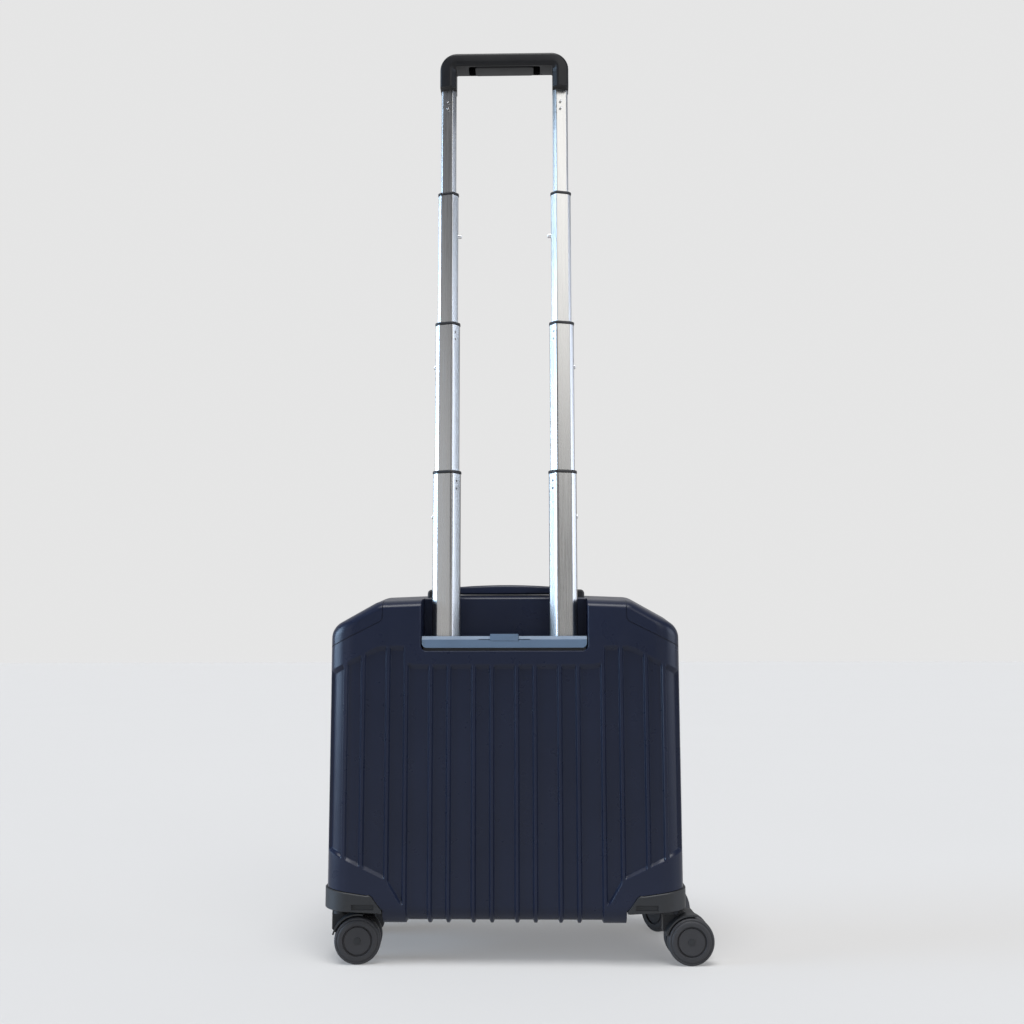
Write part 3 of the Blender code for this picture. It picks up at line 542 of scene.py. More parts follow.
def side_panel(bm, side, facing, first, last, top, foot):
    """One panel between two ribs near the corner. top and foot give heights at a distance from the centre."""
    columns = []
    for s in spaced(first, last, FLANK, FLANK, 12):
        x, depth, nx, ny = plan_point(s)
        z_low, z_high = foot(x), top(x)
        column = []
        for z in spaced(z_low, z_high, FOOT, CAP, 10):
            sink = PROUD - hollow(min(s - first, last - s), z_high - z, z - z_low)
            column.append(((x, depth, z), (nx, ny, 0.0), sink))
        columns.append(column)
    add_panel(bm, side, facing, columns)


def blend_line(points):
    """A function that joins (x, value) points by straight lines and holds the end values."""

    def value(x):
        if x <= points[0][0]:
            return points[0][1]
        for (x0, v0), (x1, v1) in zip(points, points[1:]):
            if x <= x1:
                return v0 + (v1 - v0) * (x - x0) / (x1 - x0)
        return points[-1][1]

    return value


CENTRAL_TOP = 0.306
INNER_FOOT = blend_line([(0.105, 0.06), (0.109, 0.0635), (0.121, 0.0835)])
OUTER_FOOT = blend_line([(0.124, 0.086), (0.145, 0.096), (0.1845, 0.114)])
INNER_TOP = blend_line([(0.104, 0.3255), (0.121, 0.3255)])
OUTER_TOP = blend_line([(0.1235, 0.3255), (0.131, 0.325), (0.14, 0.3215), (0.147, 0.3175), (0.1845, 0.299)])


def add_panels(facing):
    bm = bmesh.new()
    edges = [-RIBS[0]] + list(RIBS)
    for a, b in zip(edges[:5], edges[1:6]):
        flare = 0.004 if b == RIBS[4] else 0.0
        central_panel(bm, facing, a + CREST_HALF, b - CREST_HALF, flare)
        if a > 0:
            central_panel(bm, facing, -b + CREST_HALF, -a - CREST_HALF, flare)
    stops = [plan_distance(x) for x in RIBS[4:]] + [FLAT_HALF + ARC_LENGTH * 0.84]
    for i, (a, b) in enumerate(zip(stops, stops[1:])):
        top, foot = (INNER_TOP, INNER_FOOT) if i == 0 else (OUTER_TOP, OUTER_FOOT)
        for side, _ in SIDES:
            side_panel(bm, side, facing, a + CREST_HALF, b - CREST_HALF, top, foot)
    return bm


def face_depth(x, z):
    """Depth of the shell's outer surface at (x, z), over the face, the upright edge and the top edge."""
    x = abs(x)
    along = min(1.0, max(0.0, (x - FLAT_HALF) / SIDE_ROUND))
    fall = (TOP - SHOULDER[1]) / (SHOULDER[0] - CROWN_X)
    edge = TOP - fall * max(0.0, x - CROWN_X)
    if x > SHOULDER[0]:
        slope = (SHOULDER[1] - SIDE_TOP) / (HALF - SHOULDER[0])
        edge = SHOULDER[1] - slope * (x - SHOULDER[0])
    rise = 1 - min(1.0, max(0.0, (TOP_DRAFT + TOP_ROUND - (edge - z)) / TOP_ROUND))
    top_bend = sqrt(max(0.0, 1 - (1 - rise) ** 2))
    side_bend = sqrt(max(0.0, 1 - along * along))
    return FACE - ROUND_DEPTH * (1 - min(top_bend, side_bend))


def corner_groove(bm, side, facing):
    """The fine groove round the moulded upper corner."""
    corner = (0.1285, 0.3515)
    path = [Vector((0.1285, z)) for z in (0.379, 0.376, 0.373, 0.37, 0.366, 0.362)]
    path += corner_arc((0.1285, 0.38), corner, (0.1845, 0.3235), 0.007, 8)
    start = path[-1]
    for i in range(1, 11):
        path.append(start.lerp(Vector((0.1842, 0.3238)), i / 10))
    width, depth = 0.00045, 0.0008
    low_rows, high_rows = [], []
    for i, p in enumerate(path):
        ahead = path[min(i + 1, len(path) - 1)] - path[max(i - 1, 0)]
        across = Vector((-ahead.y, ahead.x)).normalized() * width
        inner = face_depth(p.x, p.y) - depth
        low_rows.append([(side * q.x, facing * inner, q.y) for q in (p - across, p + across)])
        high_rows.append([(side * q.x, facing * 0.12, q.y) for q in (p - across, p + across)])
    add_slab(bm, low_rows, high_rows)


RECESS_HALF = 0.088
RECESS_FLOOR = 0.3195
RECESS_BACK = 0.06


def recess_outline(grow):
    half = RECESS_HALF + grow
    floor = RECESS_FLOOR - grow
    corners = [(-half, floor), (half, floor), (half, 0.41), (-half, 0.41)]
    return rounded(corners, (0.006 + grow, 0.006 + grow, 0, 0), 6)


def crown_height(y):
    """Height of the case's top over its centre plane, at distance y from the seam."""
    edge = FACE - ROUND_DEPTH
    if y <= edge:
        return TOP - TOP_DRAFT * max(0.0, y - SEAM_HALF) / (edge - SEAM_HALF)
    lean = min(1.0, (y - edge) / ROUND_DEPTH)
    return TOP - TOP_DRAFT - TOP_ROUND * (1 - sqrt(1 - lean * lean))


def recess_tools():
    """The pocket's walls, its space with a bright chamfered mouth, and the round at the back wall's top."""
    half = RECESS_HALF + WALL
    near, far = RECESS_BACK - WALL, FACE - RIB_HEIGHT - 0.001
    line = [(-far, RECESS_FLOOR - WALL), (-near, RECESS_FLOOR - WALL)]
    for i in range(9):
        y = near + (far - near) * i / 8
        line.append((-y, crown_height(y) - 0.0021))
    walls = prism_x(line, -half, half)
    chamfer = 0.0012
    rings = []
    for y, grow in ((0.14, chamfer * 1.5), (FACE + 0.001, chamfer * 1.5), (FACE - chamfer, 0.0), (RECESS_BACK, 0.0)):
        rings.append([(p.x, -y, p.y) for p in recess_outline(grow)])
    space = loft(rings)
    radius = 0.0042
    edge = crown_height(RECESS_BACK)
    line = [(-RECESS_BACK - 0.001, edge - radius), (-RECESS_BACK, edge - radius)]
    for i in range(1, 9):
        turn = pi / 2 * i / 8
        line.append((-RECESS_BACK + radius * (1 - cos(turn)), edge - radius + radius * sin(turn)))
    line += [(-RECESS_BACK + radius, TOP + 0.01), (-RECESS_BACK - 0.001, TOP + 0.01)]
    back = prism_x(line, -RECESS_HALF, RECESS_HALF)
    return [("UNION", walls), ("DIFFERENCE", space), ("DIFFERENCE", back)]


TUBE_X = 0.063
TUBE_Y = -0.081
TUBE_DEEP = 0.0127
TUBE_WALL = 0.00135
WIDTHS = {"outer": 0.0334, "stage_4": 0.03, "stage_3": 0.0265, "stage_2": 0.022, "stage_1": 0.017}
SECTION = (
    (-1.0, -0.15),
    (-0.42, -1.0),
    (0.66, -0.62),
    (1.0, -0.15),
    (1.0, 0.55),
    (0.66, 1.0),
    (-0.66, 1.0),
    (-1.0, 0.55),
)


def tube_section(stage, side, inward=0.0, steps=6):
    """A stage's outline in plan. side is 1 on the right and -1 on the left."""
    shrink = (WIDTHS["outer"] - WIDTHS[stage]) / 2 + inward
    corners = [Vector((u * WIDTHS["outer"] / 2, v * TUBE_DEEP)) for u, v in SECTION]
    radius = max(0.006 - shrink, 0.001)
    line = rounded(offset_corners(corners, [shrink] * 8), [radius] * 8, steps)
    points = [(side * (TUBE_X + p.x), TUBE_Y + p.y) for p in line]
    return points if side > 0 else points[::-1]


def tube_holes(low, high):
    bm = bmesh.new()
    for side, _ in SIDES:
        prism_z(tube_section("outer", side, -0.0004), low, high, bm=bm)
    return bm


def stem_holes():
    low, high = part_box("carry_handle")
    half, middle = (high.x - low.x) / 2, (low.y + high.y) / 2
    bm = bmesh.new()
    for side, _ in SIDES:
        side_block(side, (half - 0.0045, middle - 0.0085, 0.34), (half + 0.0004, middle + 0.0085, 0.4), bm=bm)
    return bm


BRACKET_START = 0.1256
BRACKET_KNEE = 0.137


def bracket_edge(x):
    """Height of a caster bracket's upper edge at distance x from the centre plane."""
    low = 0.056 + (x - BRACKET_START) * 0.0145 / (BRACKET_KNEE - BRACKET_START)
    high = 0.0705 + 0.007 * (x - BRACKET_KNEE) / 0.049
    soft, gap = 0.0035, abs(low - high)
    ease = soft * 0.25 if gap > soft else (soft - gap) ** 2 / (4 * soft)
    return min(low, high) - ease


def corner_tool(side, facing):
    """Opens a lower corner for its caster bracket, with a fine gap round it."""
    gap = 0.0007
    xs = [BRACKET_START - gap + 0.002 * i for i in range(14)] + [0.16, 0.175, 0.21]
    line = [(xs[0], 0.02), (0.21, 0.02)]
    line += [(x, bracket_edge(max(x, BRACKET_START)) + gap) for x in xs[::-1]]
    near, far = sorted((facing * 0.0362, facing * 0.13))
    return prism_y([(side * x, z) for x, z in line], near, far)


def make_shell(row, facing, tools=()):
    obj = mesh_object(f"{row}_shell_detailed", loft(shell_rings(facing)))
    grooves = bmesh.new()
    for side, _ in SIDES:
        corner_groove(grooves, side, facing)
    corners = [("DIFFERENCE", corner_tool(side, facing)) for side, _ in SIDES]
    carve(obj, [("DIFFERENCE", add_panels(facing)), ("DIFFERENCE", grooves), *tools, *corners])
    finish_piece(obj, NAVY, f"{row}_case", node=f"{row}_shell", sharp=30, weighted=True)


def make_shells():
    holes = tube_holes(RECESS_FLOOR - 0.01, RECESS_FLOOR + 0.004)
    make_shell("rear", -1, recess_tools() + [("DIFFERENCE", holes), ("DIFFERENCE", stem_holes())])
    make_shell("front", 1)


# ------------ trolley handle


COLLARED = ("stage_4", "stage_3", "stage_2")
STAGES = COLLARED + ("stage_1",)


def section_ring(stage, side, inward, z):
    return [(x, y, z) for x, y in tube_section(stage, side, inward)]


def make_tubes():
    """The drawn tubes, with a softened rim, and the two dimples pressed below each collar."""
    for stage in ("outer",) + STAGES:
        body = "rear_case" if stage == "outer" else stage
        for side, word in SIDES:
            node = f"{stage}_tube_{word}"
            low, high = span(node, 2)
            soft = 0.0003
            levels = ((0.0, low), (0.0, high - soft), (soft, high), (TUBE_WALL, high), (TUBE_WALL, low))
            rings = [section_ring(stage, side, inward, z) for inward, z in levels]
            obj = mesh_object(f"{node}_drawn", loft(rings, looped=True))
            if stage in COLLARED:
                dents = bmesh.new()
                for drop in (0.0085, 0.0165):
                    face = side * (TUBE_X - WIDTHS[stage] / 2 * 0.76)
                    place = (face, TUBE_Y - TUBE_DEEP * 0.5, high - drop)
                    turned([(0.0011, -0.0024), (0.0011, 0.004)], 16, place, (-side * 0.82, -0.57, 0), bm=dents)
                cut(obj, dents)
            finish_piece(obj, TUBE_METAL, body, node=node, sharp=28)


def make_collars():
    for stage in COLLARED:
        for side, word in SIDES:
            node = f"{stage}_collar_{word}"
            low, high = span(node, 2)
            levels = [(-0.0003, low), (-0.0006, low + 0.0004), (-0.0006, high - 0.001)]
            levels += [(-0.0002, high - 0.0003), (0.0006, high), (TUBE_WALL - 0.0001, high), (TUBE_WALL, low)]
            rings = [section_ring(stage, side, inward, z) for inward, z in levels]
            piece(f"{node}_ring", loft(rings, looped=True), BLACK, stage, node=node)


def make_pins():
    """Domed lock studs. They draw in as their stage slides down."""
    for stage in COLLARED[::-1]:
        for side, word in SIDES:
            node = f"{stage}_lock_pin_{word}"
            low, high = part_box(node)
            out = side * (-1 if stage == "stage_2" else 1)
            root = (low.x if out > 0 else high.x) - CENTRE
            length, radius = high.x - low.x, (high.z - low.z) / 2
            profile = [(0.00005, -0.0004), (radius, -0.0004), (radius, length - 0.0006)]
            profile += [(radius * 0.88, length - 0.0002), (radius * 0.5, length), (0.00005, length)]
            y, z = (low.y + high.y) / 2, (low.z + high.z) / 2
            stud = turned(profile, 24, (root, y, z), (out, 0, 0))
            obj = piece(f"{node}_stud", stud, STEEL, stage, node=node)
            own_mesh(obj)


def make_screws():
    """Two small cross screws on the broad face of each top tube, just below the grip."""
    head = [(0.0001, -0.001), (0.0012, -0.001), (0.0012, 0.0001), (0.0008, 0.0004), (0.0001, 0.0004)]
    for side, word in SIDES:
        face = Vector((side * (TUBE_X + 0.001), TUBE_Y - 0.00435, 0))
        out = Vector((side * 0.2586, -0.966, 0))
        along = Vector((-out.y, out.x, 0))
        bm, arms = bmesh.new(), (bmesh.new(), bmesh.new())
        for z in (0.9364, 0.9282):
            place = face + Vector((0, 0, z))
            turned(head, 20, place, out, bm=bm)
            for arm, long_way, short_way in zip(arms, (0.0009, 0.0002), (0.0002, 0.0009)):
                rings = []
                for depth in (-0.0001, 0.002):
                    middle = place + out * depth
                    outline = rectangle(-1, -1, 1, 1)
                    rings.append([middle + along * long_way * u + Vector((0, 0, short_way * v)) for u, v in outline])
                loft(rings, bm=arm)
        obj = mesh_object(f"grip_screws_{word}", bm)
        cut(obj, *arms)
        finish_piece(obj, STEEL, "stage_1")


def grip_rings(bottom, top, thick):
    """Sections along the U-shaped grip, from the left leg's foot over the bar to the right leg's foot."""
    leg, bar = 0.009, thick / 2
    reach, bend = TUBE_X + 0.0004, 0.0105
    level = top - bar
    stations = []
    for i in range(6):
        stations.append((-reach, bottom + (level - bend - bottom) * i / 5, pi, 0.0))
    for i in range(1, 13):
        turn = pi / 2 * i / 12
        centre = (-reach + bend, level - bend)
        stations.append((centre[0] - bend * cos(turn), centre[1] + bend * sin(turn), pi - turn, i / 12))
    for i in range(1, 12):
        stations.append(((-reach + bend) * (1 - i / 6), level, pi / 2, 1.0))
    for x, z, turn, share in stations[17::-1]:
        stations.append((-x, z, pi - turn, share))
    rings = []
    for x, z, turn, share in stations:
        half = leg + (bar - leg) * smooth_step(share)
        slope = 0.27 * (1 - smooth_step(share))
        front, back = TUBE_Y - 0.0134, TUBE_Y + 0.013
        apex = -half * 0.35
        corners = [
            (-half, front + 0.005 - 0.0044 * share),
            (apex, front),
            (half, front + slope * (half - apex)),
            (half, back),
            (-half, back),
        ]
        line = rounded(corners, (0.002, 0.004, 0.0034, 0.003, 0.0016), 5)
        rings.append([(x + cos(turn) * p.x, p.y, z + sin(turn) * p.x) for p in line])
    return rings


GRIP_BAR = 0.0148


def make_grip():
    """The grip, whose legs carry on the tubes' sloping faces, and the release bar set into its underside."""
    low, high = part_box("grip")
    under = high.z - GRIP_BAR
    obj = mesh_object("grip_moulded", loft(grip_rings(low.z, high.z, GRIP_BAR)))
    sockets = bmesh.new()
    for side, _ in SIDES:
        prism_z(tube_section("stage_1", side, -0.0002), low.z - 0.01, 0.9745, bm=sockets)
    slot = block((-0.0405, TUBE_Y - 0.009, under - 0.01), (0.0405, TUBE_Y + 0.0118, under + 0.0115), 0.003)
    cut(obj, sockets, slot)
    finish_piece(obj, GRIP_BLACK, "stage_1", node="grip", sharp=40)
    bar = pillow((-0.033, TUBE_Y - 0.0084, under - 0.001), (0.033, TUBE_Y + 0.0112, under + 0.0066), 0.003, 0.001)
    piece("release_bar_moulded", bar, GRIP_BLACK, "release_trigger", node="release_trigger")


def make_housing():
    """The bar across the recess, with a chamfered upper edge, and the tag whose head sits in its notch."""
    half, low, high = 0.0868, 0.3226, 0.3348
    front, back = -0.1036, -RECESS_BACK - 0.0004
    line = rounded(rectangle(-half, low, half, high), (0.005, 0.005, 0.0006, 0.0006), 6)
    obj = mesh_object("handle_housing_bar", prism_y(line, front, back))
    slope = [(front - 0.001, high - 0.0036), (front, high - 0.0036), (front + 0.0026, high)]
    slope += [(front + 0.0026, high + 0.002), (front - 0.001, high + 0.002)]
    notch = block((-0.0151, -0.13, high - 0.0052), (0.0151, TUBE_Y + 0.0013, high + 0.01))
    card = block((-0.0141, TUBE_Y - 0.0014, low - 0.01), (0.0141, TUBE_Y + 0.0014, high + 0.01))
    lines = bmesh.new()
    for side, _ in SIDES:
        side_block(side, (0.0149, front - 0.01, high - 0.004), (0.0272, front + 0.0022, high - 0.0031), bm=lines)
    cut(obj, prism_x(slope, -0.1, 0.1), tube_holes(low - 0.01, high + 0.01), notch, card, lines)
    finish_piece(obj, BAR_BLUE, "rear_case", node="handle_housing", bevel=0.0004)
    base = block((-half + 0.001, front + 0.003, RECESS_FLOOR), (half - 0.001, back, low + 0.0004))
    under = mesh_object("handle_housing_base", base)
    card = block((-0.0141, TUBE_Y - 0.0014, 0.31), (0.0141, TUBE_Y + 0.0014, 0.33))
    cut(under, tube_holes(low - 0.01, high), card)
    finish_piece(under, BLACK, "rear_case")
    tag = block((-0.0138, TUBE_Y - 0.0011, span("id_tag", 2)[0]), (0.0138, TUBE_Y + 0.0011, high - 0.001))
    head = block((-0.0148, front - 0.0002, high - 0.005), (0.0148, TUBE_Y + 0.0011, high + 0.0022), 0.0008)
    tag_piece = mesh_object("id_tag_card", tag)
    join(tag_piece, head)
    finish_piece(tag_piece, BAR_BLUE, "id_tag", node="id_tag", bevel=0.0005)


# ------------ carry handle


def make_carry_handle():
    """The bowed strap handle with a stem at each end, and the two end mounts that it rises between."""
    low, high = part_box("carry_handle")
    half, under = (high.x - low.x) / 2, 0.3822
    y0, y1 = low.y, high.y
    rings = []
    count = 32
    for i in range(count + 1):
        x = -half + 2 * half * i / count
        share = (x / half) ** 2
        crest, foot = high.z - 0.0045 * share, under + 0.0007 * share
        corners = [(y0, foot), (y1, foot), (y1 - 0.0015, crest - 0.0004), (y0 + 0.0015, crest - 0.0004)]
        line = rounded(corners, (0.0012, 0.0012, 0.0034, 0.0034), 5)
        rings.append([(x, p.x, p.y) for p in line])
    obj = mesh_object("carry_handle_moulded", loft(rings))
    stems = bmesh.new()
    middle = (y0 + y1) / 2
    for side, _ in SIDES:
        side_block(side, (half - 0.004, middle - 0.008, low.z), (half, middle + 0.008, under + 0.002), bm=stems)
    join(obj, stems)
    finish_piece(obj, NAVY, "carry_handle", node="carry_handle", bevel=0.0006)
    for side, word in SIDES:
        node = f"carry_mount_{word}"
        a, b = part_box(node)
        rings = []
        near, far = half + 0.0003, max(abs(a.x - CENTRE), abs(b.x - CENTRE))
        for i, pinch in enumerate((0.0022, 0.0006, 0.0, 0.0, 0.0, 0.0, 0.0, 0.0006, 0.0022)):
            y = a.y + (b.y - a.y) * i / 8
            corners = rectangle(near, crown_height(abs(y)) - 0.0016, far - pinch, b.z - pinch)
            line = rounded(corners, (0, 0, 0.0045 - pinch, 0.0005), 6)
            rings.append([(side * p.x, y, p.y) for p in line])
        piece(f"{node}_moulded", loft(rings), BLACK, "rear_case", node=node)


# ------------ casters


SWIVEL = (0.1714, 0.08)
TRAIL = 0.0188
REST_TURN = {"rear_left": 4.0, "rear_right": 3.0, "front_left": -71.0, "front_right": -57.0}
WHEEL_R = 0.024
WHEEL_Z = 0.0238
FORK_HALF = 0.0052
AXLE_HALF = 0.019
BRACKET_Y = 0.0365


def bracket_low(x):
    return 0.0525 + 0.003 * (x - BRACKET_START) / 0.0604


def caster_frame(corner, side, facing, z=0.0):
    """A caster's centre on its swivel axis, and its directions along and across the trail."""
    turn = radians(REST_TURN[corner])
    centre = Vector((side * SWIVEL[0], facing * SWIVEL[1], z))
    return centre, Vector((cos(turn), sin(turn), 0)), Vector((-sin(turn), cos(turn), 0))


def make_bracket(corner, side, facing, body):
    """The moulding that closes a lower corner: proud of the shell, with a soft upper edge."""
    x1, y1 = HALF + 0.0016, FACE + 0.0009

    def plan(inward):
        corners = offset_corners(rectangle(BRACKET_START, BRACKET_Y, x1, y1), [inward] * 4)
        line = rounded(corners, (0.001, 0.001, 0.027 - inward, 0.001), 14)
        dense = []
        for i, p in enumerate(line):
            q = line[(i + 1) % len(line)]
            parts = max(1, round((q - p).length / 0.003))
            dense += [p.lerp(q, k / parts) for k in range(parts)]
        return dense

    def ring(line, height):
        picked = [line[int(i * len(line) / count)] for i in range(count)]
        return [(side * p.x, facing * p.y, height(p.x)) for p in picked]

    outer, edge, inner = plan(0.0), plan(0.0008), plan(0.0028)
    count = len(outer)
    rings = [
        ring(edge, bracket_low),
        ring(outer, lambda x: bracket_low(x) + 0.0008),
        ring(outer, lambda x: bracket_edge(x) - 0.0008),
        ring(edge, bracket_edge),
        ring(inner, bracket_edge),
        ring(inner, lambda x: min(bracket_low(x) + 0.0045, bracket_edge(x) - 0.0006)),
    ]
    obj = mesh_object(f"{corner}_bracket_moulded", loft(rings))
    near, far = sorted((facing * (y1 - 0.0018), facing * (y1 + 0.01)))
    notch = side_block(side, (0.134, near, 0.0562), (0.1568, far, 0.0616))
    centre, _, _ = caster_frame(corner, side, facing, 0.045)
    cut(obj, notch, turned([(0.0056, 0.0), (0.0056, 0.035)], 32, centre, (0, 0, 1)))
    finish_piece(obj, CHARCOAL, body, node=f"{corner}_caster_bracket", sharp=35, bevel=0.0003)


def make_fork(corner, side, facing):
    """Swivel disc, the blade between the wheels and the fender over their back."""
    centre, along, across = caster_frame(corner, side, facing)
    up = Vector((0, 0, 1))

    def plate(outline, half):
        return loft([[centre + along * u + across * v + up * z for u, z in outline] for v in (-half, half)])

    disc = [(0.0001, 0.0486), (0.0088, 0.0486), (0.0088, 0.0516), (0.0052, 0.0516), (0.0052, 0.0634), (0.0001, 0.0634)]
    obj = mesh_object(f"{corner}_fork_moulded", turned(disc, 40, centre, up))
    corners = [(-0.0084, 0.0512), (-0.0084, 0.0335), (0.008, 0.016), (TRAIL, 0.0128), (TRAIL + 0.01, 0.018)]
    corners += [(TRAIL + 0.0105, 0.03), (0.015, 0.0512)]
    blade = [tuple(p) for p in rounded(corners, (0.001, 0.002, 0.006, 0.006, 0.006, 0.006, 0.003), 5)]
    fender = []
    for radius, angles in ((WHEEL_R + 0.0028, range(0, 13)), (WHEEL_R + 0.0011, range(12, -1, -1))):
        for i in angles:
            swing = radians(78 + 88 * i / 12)
            fender.append((TRAIL + radius * cos(swing), WHEEL_Z + radius * sin(swing)))
    join(obj, plate(blade, FORK_HALF), plate(fender, AXLE_HALF - 0.0012))
    finish_piece(obj, CHARCOAL, f"{corner}_swivel", node=f"{corner}_caster_fork", bevel=0.0005)


def make_wheels(corner, side, facing):
    """Twin wheels with a rounded tread, a raised ring and a hub set in behind a dark groove."""
    swivel, along, across = caster_frame(corner, side, facing, WHEEL_Z)
    centre = swivel + along * TRAIL
    near, far, r = FORK_HALF + 0.0006, AXLE_HALF, WHEEL_R
    face = (
        (0.0033 / r, 0.0012),
        (0.56, 0.001),
        (0.58, 0.0022),
        (0.625, 0.0022),
        (0.65, 0.0002),
        (0.78, 0.0),
        (0.84, 0.0004),
        (0.87, 0.0012),
        (0.9, 0.0008),
    )
    profile = [(share * r, far - depth) for share, depth in face]
    for i in range(9):
        swing = pi / 2 * i / 8
        profile.append((r - 0.0022 * (1 - sin(swing)), far - 0.0008 - 0.004 * (1 - cos(swing))))
    for i in range(7):
        swing = pi / 2 * i / 6
        profile.append((r - 0.0022 * (1 - cos(swing)), near + 0.003 * (1 - sin(swing))))
    profile.append((0.0033, near))
    dome = ((0.0001, 0.0016), (0.0036, 0.0016), (0.0034, 0.0007), (0.0001, 0.0005))
    for word, out in (("inner", -1), ("outer", 1)):
        node = f"{corner}_wheel_{word}"
        line = [(radius, out * height) for radius, height in profile]
        piece(f"{node}_moulded", turned(line, 64, centre, across, looped=True), TYRE, node, node=node, sharp=40)
        cap = [(radius, out * (far - depth)) for radius, depth in dome]
        piece(f"{node}_cap", turned(cap, 32, centre, across), CHARCOAL, node)


def make_casters():
    for facing, row in ((-1, "rear"), (1, "front")):
        for side, word in SIDES:
            corner = f"{row}_{word}"
            make_bracket(corner, side, facing, f"{row}_case")
            make_fork(corner, side, facing)
            make_wheels(corner, side, facing)


# ------------ zip, lock and inside


def zip_line(inward):
    """The zip's path round the case, with a point every few millimetres."""
    line = [Vector(p) for p in body_outline(inward, inward, inward, 10)]
    points = []
    for i, p in enumerate(line):
        q = line[(i + 1) % len(line)]
        parts = max(1, round((q - p).length / 0.006))
        points += [p.lerp(q, k / parts) for k in range(parts)]
    return points


def make_zip(row, facing):
    """One side's woven tape, and its teeth at an even pitch, half a pitch off the other side's."""
    node, body = f"{row}_zip_tape", f"{row}_case"
    near, far = 0.0002, 0.0115
    rings = []
    for inward, y in ((0.0029, near), (0.0032, far), (0.0041, far), (0.0041, near)):
        line = body_outline(inward, inward + 0.0006, inward, 10)
        rings.append([(p.x, facing * y, p.y) for p in line])
    piece(f"{node}_woven", loft(rings, looped=True), TAPE, body, node=node)
    path = zip_line(0.0024)
    length = [0.0]
    for i, p in enumerate(path):
        length.append(length[-1] + (path[(i + 1) % len(path)] - p).length)
    count = int(length[-1] / 0.0032)
    pitch = length[-1] / count
    tooth = rectangle(-0.0006, -0.0006, 0.0006, 0.0006)
    bm = bmesh.new()
    at = 0
    for k in range(count):
        target = (k + (0.25 if facing > 0 else 0.75)) * pitch
        while length[at + 1] < target:
            at += 1
        p, q = path[at], path[(at + 1) % len(path)]
        ahead = (q - p).normalized()
        middle = p + ahead * (target - length[at])
        out = Vector((ahead.y, -ahead.x))
        ring = [middle + ahead * u + out * v for u, v in tooth]
        prism_y(ring, facing * -0.0007, facing * 0.0022, bm=bm)
    piece(f"{row}_zip_teeth", bm, BLACK, body)


def make_sliders():
    for word in ("upper", "lower"):
        node = f"zip_slider_{word}"
        low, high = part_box(node)
        x, z = low.x - CENTRE, (low.z + high.z) / 2
        bm = pillow((x, -0.0044, z - 0.0058), (x + 0.0038, 0.0044, z + 0.0058), 0.0008, 0.0008)
        obj = mesh_object(f"{node}_cast", bm)
        join(obj, block((x + 0.003, -0.0013, z - 0.003), (x + 0.0058, 0.0013, z + 0.003), 0.0004))
        finish_piece(obj, STEEL, node, node=node, bevel=0.0003)
        pull = block((x + 0.0044, -0.015, z - 0.0022), (x + 0.0056, 0.0022, z + 0.0022), 0.0005)
        piece(f"{node}_pull", pull, STEEL, node, bevel=0.0004)


def make_lock():
    """A plate with a keyhole and three dials in their slots."""
    low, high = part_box("zip_lock")
    x, y0, y1 = low.x - CENTRE, low.y, high.y
    outline = rounded(rectangle(y0, low.z, y1, high.z), [0.004] * 4, 8)
    obj = mesh_object("zip_lock_plate", prism_x(outline, x, x + 0.003))
    slots, dials = bmesh.new(), bmesh.new()
    dial = [(0.0001, -0.003), (0.0046, -0.003), (0.0046, 0.003), (0.0001, 0.003)]
    for i in (-1, 0, 1):
        z = (low.z + high.z) / 2 + 0.004 + i * 0.0095
        block((x + 0.0018, y0 + 0.005, z - 0.0034), (x + 0.02, y0 + 0.0135, z + 0.0034), bm=slots)
        turned(dial, 20, (x - 0.002, y0 + 0.0092, z), (0, 0, 1), bm=dials)
    cut(obj, slots, turned([(0.0016, 0.0015), (0.0016, 0.02)], 24, (x, y0 + 0.0092, low.z + 0.0065), (1, 0, 0)))
    finish_piece(obj, BLACK, "rear_case", node="zip_lock", bevel=0.0004)
    piece("zip_lock_dials", dials, STEEL, "rear_case")


def make_hinge_fabric():
    """The strip inside both tapes, at the hinge between the shells."""
    low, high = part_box("hinge_tape")
    count = 24
    rings = []
    for i in range(count + 1):
        y = low.y + (high.y - low.y) * i / count
        rings.append([(x, y, z) for x, z in rectangle(low.x - CENTRE, low.z, high.x - CENTRE, high.z)])
    obj = mesh_object("hinge_fabric", loft(rings))
    obj.data.transform(Matrix.Translation((CENTRE, 0, 0)))
    obj.data.materials.append(TAPE)
    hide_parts("hinge_tape")
    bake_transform(obj)


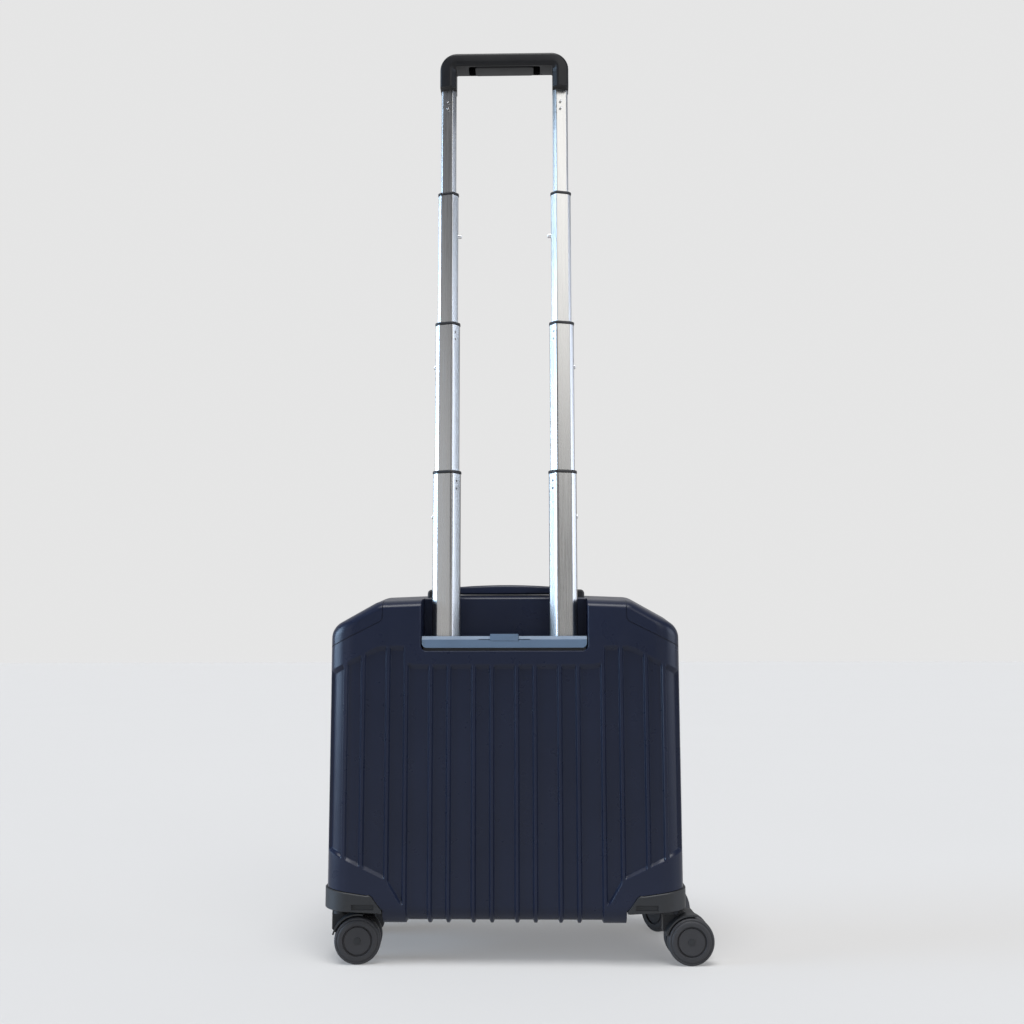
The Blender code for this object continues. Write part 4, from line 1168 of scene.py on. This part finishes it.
def make_sleeve():
    """A padded pocket: a front wall crowned with sewn channels, a plain back wall, a gusset and a bound mouth."""
    low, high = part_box("laptop_sleeve")
    half = (high.x - low.x) / 2
    wall, swell = 0.0034, 0.0011
    face = high.y - swell

    def pad_skins(front):
        for i in range(61):
            u = i / 60
            x = -half + 2 * half * u
            outer, inner = [], []
            for k in range(41):
                v = k / 40
                z = low.z + (high.z - low.z) * v
                puff = swell * abs(sin(pi * 6 * u)) ** 0.6 * min(1.0, 10 * v, 10 * (1 - v))
                outer.append((x, face + puff if front else low.y, z))
                inner.append((x, face - wall if front else low.y + wall, z))
            yield outer, inner

    for word, node in (("front", "laptop_sleeve"), ("back", None)):
        bm = bmesh.new()
        add_slab(bm, *zip(*pad_skins(node)))
        obj = piece(f"sleeve_{word}_pad", bm, PADDING, "rear_case", node=node, sharp=60)
    gusset = bmesh.new()
    for side, _ in SIDES:
        side_block(side, (half - 0.0032, low.y + 0.0002, low.z), (half, face - 0.0002, high.z), 0.001, bm=gusset)
    block((-half, low.y + 0.0002, low.z), (half, face - 0.0002, low.z + 0.0034), 0.001, bm=gusset)
    piece("sleeve_gusset", gusset, LINING, "rear_case")
    binding = bmesh.new()
    reach = wall / 2 + 0.0002
    for y in (low.y + wall / 2, face - wall / 2):
        pillow((-half, y - reach, high.z - 0.006), (half, y + reach, high.z + 0.0008), 0.0006, 0.0006, bm=binding)
    piece("sleeve_binding", binding, TAPE, "rear_case")


def dress_cad_nodes():
    """Gives the CAD nodes that stay in view their materials."""
    wanted = {"rear_lining": LINING, "front_lining": LINING}
    wanted.update({f"{corner}_axle": STEEL for corner in REST_TURN})
    for name, mat in wanted.items():
        for place in bpy.data.objects[name].material_slots:
            place.material = mat


# ------------ light, floor and camera


def sun_light(name, direction, strength, angle, colour=(1, 1, 1)):
    data = bpy.data.lights.new(name, "SUN")
    data.energy = strength
    data.color = colour
    data.angle = radians(angle)
    obj = bpy.data.objects.new(name, data)
    obj.rotation_euler = Vector(direction).to_track_quat("-Z", "Y").to_euler()
    bpy.context.scene.collection.objects.link(obj)


def make_world():
    """A plain pale backdrop. What lights the object is dimmer, with a broad glow and two soft boxes in it."""
    world = bpy.data.worlds.new("studio")
    bpy.context.scene.world = world
    world.use_nodes = True
    tree = world.node_tree
    place = add_node(tree, "TexCoord").outputs["Generated"]

    def lobe(direction, full, none):
        """1 within `full` degrees of the direction, falling to 0 at `none` degrees."""
        dot = add_node(tree, "VectorMath", {1: Vector(direction).normalized()}, {0: place}, operation="DOT_PRODUCT")
        values = {"From Min": cos(radians(none)), "From Max": cos(radians(full))}
        links = {"Value": dot.outputs["Value"]}
        return add_node(tree, "MapRange", values, links, interpolation_type="SMOOTHSTEP").outputs["Result"]

    def over(factor, base, colour):
        links = {"Factor": factor, "A": base}
        return add_node(tree, "Mix", {"B": (*colour, 1.0)}, links, data_type="RGBA").outputs["Result"]

    base = add_node(tree, "RGB")
    base.outputs["Color"].default_value = (0.09, 0.09, 0.1, 1.0)
    colour = over(lobe((0.0, 1.0, 0.2), 35, 95), base.outputs["Color"], (0.48, 0.48, 0.49))
    colour = over(lobe((-0.59, -0.8, 0.07), 11, 18), colour, (0.9, 0.9, 0.92))
    colour = over(lobe((0.45, -0.75, 0.48), 8, 24), colour, (2.4, 2.4, 2.4))
    path = add_node(tree, "LightPath")
    colour = over(path.outputs["Is Camera Ray"], colour, (0.787, 0.787, 0.787))
    tree.links.new(colour, tree.nodes["Background"].inputs["Color"])
    bpy.context.scene.view_settings.view_transform = "Standard"


def make_floor():
    """A plain pale floor that glows a little, which keeps the shadow under the case soft."""
    bm = bmesh.new()
    count = 48
    turns = [2 * pi * i / count for i in range(count)]
    verts = add_grid(bm, [[(r * cos(t), r * sin(t), 0) for t in turns] for r in (0.6, 2.0, 8.0, 60.0)], False, True)
    centre = bm.verts.new((0, 0, 0))
    for i in range(count):
        bm.faces.new((centre, verts[0][i], verts[0][(i + 1) % count]))
    floor = mesh_object("floor", bm)
    mat, shader = new_material("floor_pale", (0.8, 0.8, 0.8), 1.0, specular=0.0)
    soft = spread(mat.node_tree, noise(mat.node_tree, 1.5), 0, 1)
    pale = tint(mat.node_tree, soft, (0.432, 0.427, 0.42), (0.436, 0.431, 0.424))
    mat.node_tree.links.new(pale, shader.inputs["Base Color"])
    shader.inputs["Emission Color"].default_value = (0.995, 0.995, 1.0, 1.0)
    shader.inputs["Emission Strength"].default_value = 0.21
    floor.data.materials.append(mat)


def make_camera():
    """Low behind the case and a little to its right, looking slightly up."""
    data = bpy.data.cameras.new("camera")
    data.sensor_width = 36.0
    data.lens = 40.73
    camera = bpy.data.objects.new("camera", data)
    camera.location = (CENTRE + 0.0353, -1.3272, 0.3142)
    camera.rotation_euler = (radians(90 + 7.0745), radians(0.083), radians(1.272))
    bpy.context.scene.collection.objects.link(camera)
    bpy.context.scene.camera = camera


def make_lights():
    """Only suns, so that the open floor is lit alike everywhere."""
    make_world()
    sun_light("overhead", (0.02, 0.32, -1.0), 2.75, 36)
    sun_light("left_low", (1.0, 0.14, -0.06), 3.9, 40, (0.7, 0.97, 1.32))
    sun_light("right_low", (-1.0, 0.2, -0.06), 1.3, 40, (0.85, 0.95, 1.15))


make_camera()
make_lights()
make_floor()
make_shells()
make_tubes()
make_collars()
make_pins()
make_screws()
make_grip()
make_housing()
make_carry_handle()
make_casters()
make_zip("rear", -1)
make_zip("front", 1)
make_sliders()
make_lock()
make_hinge_fabric()
make_sleeve()
dress_cad_nodes()
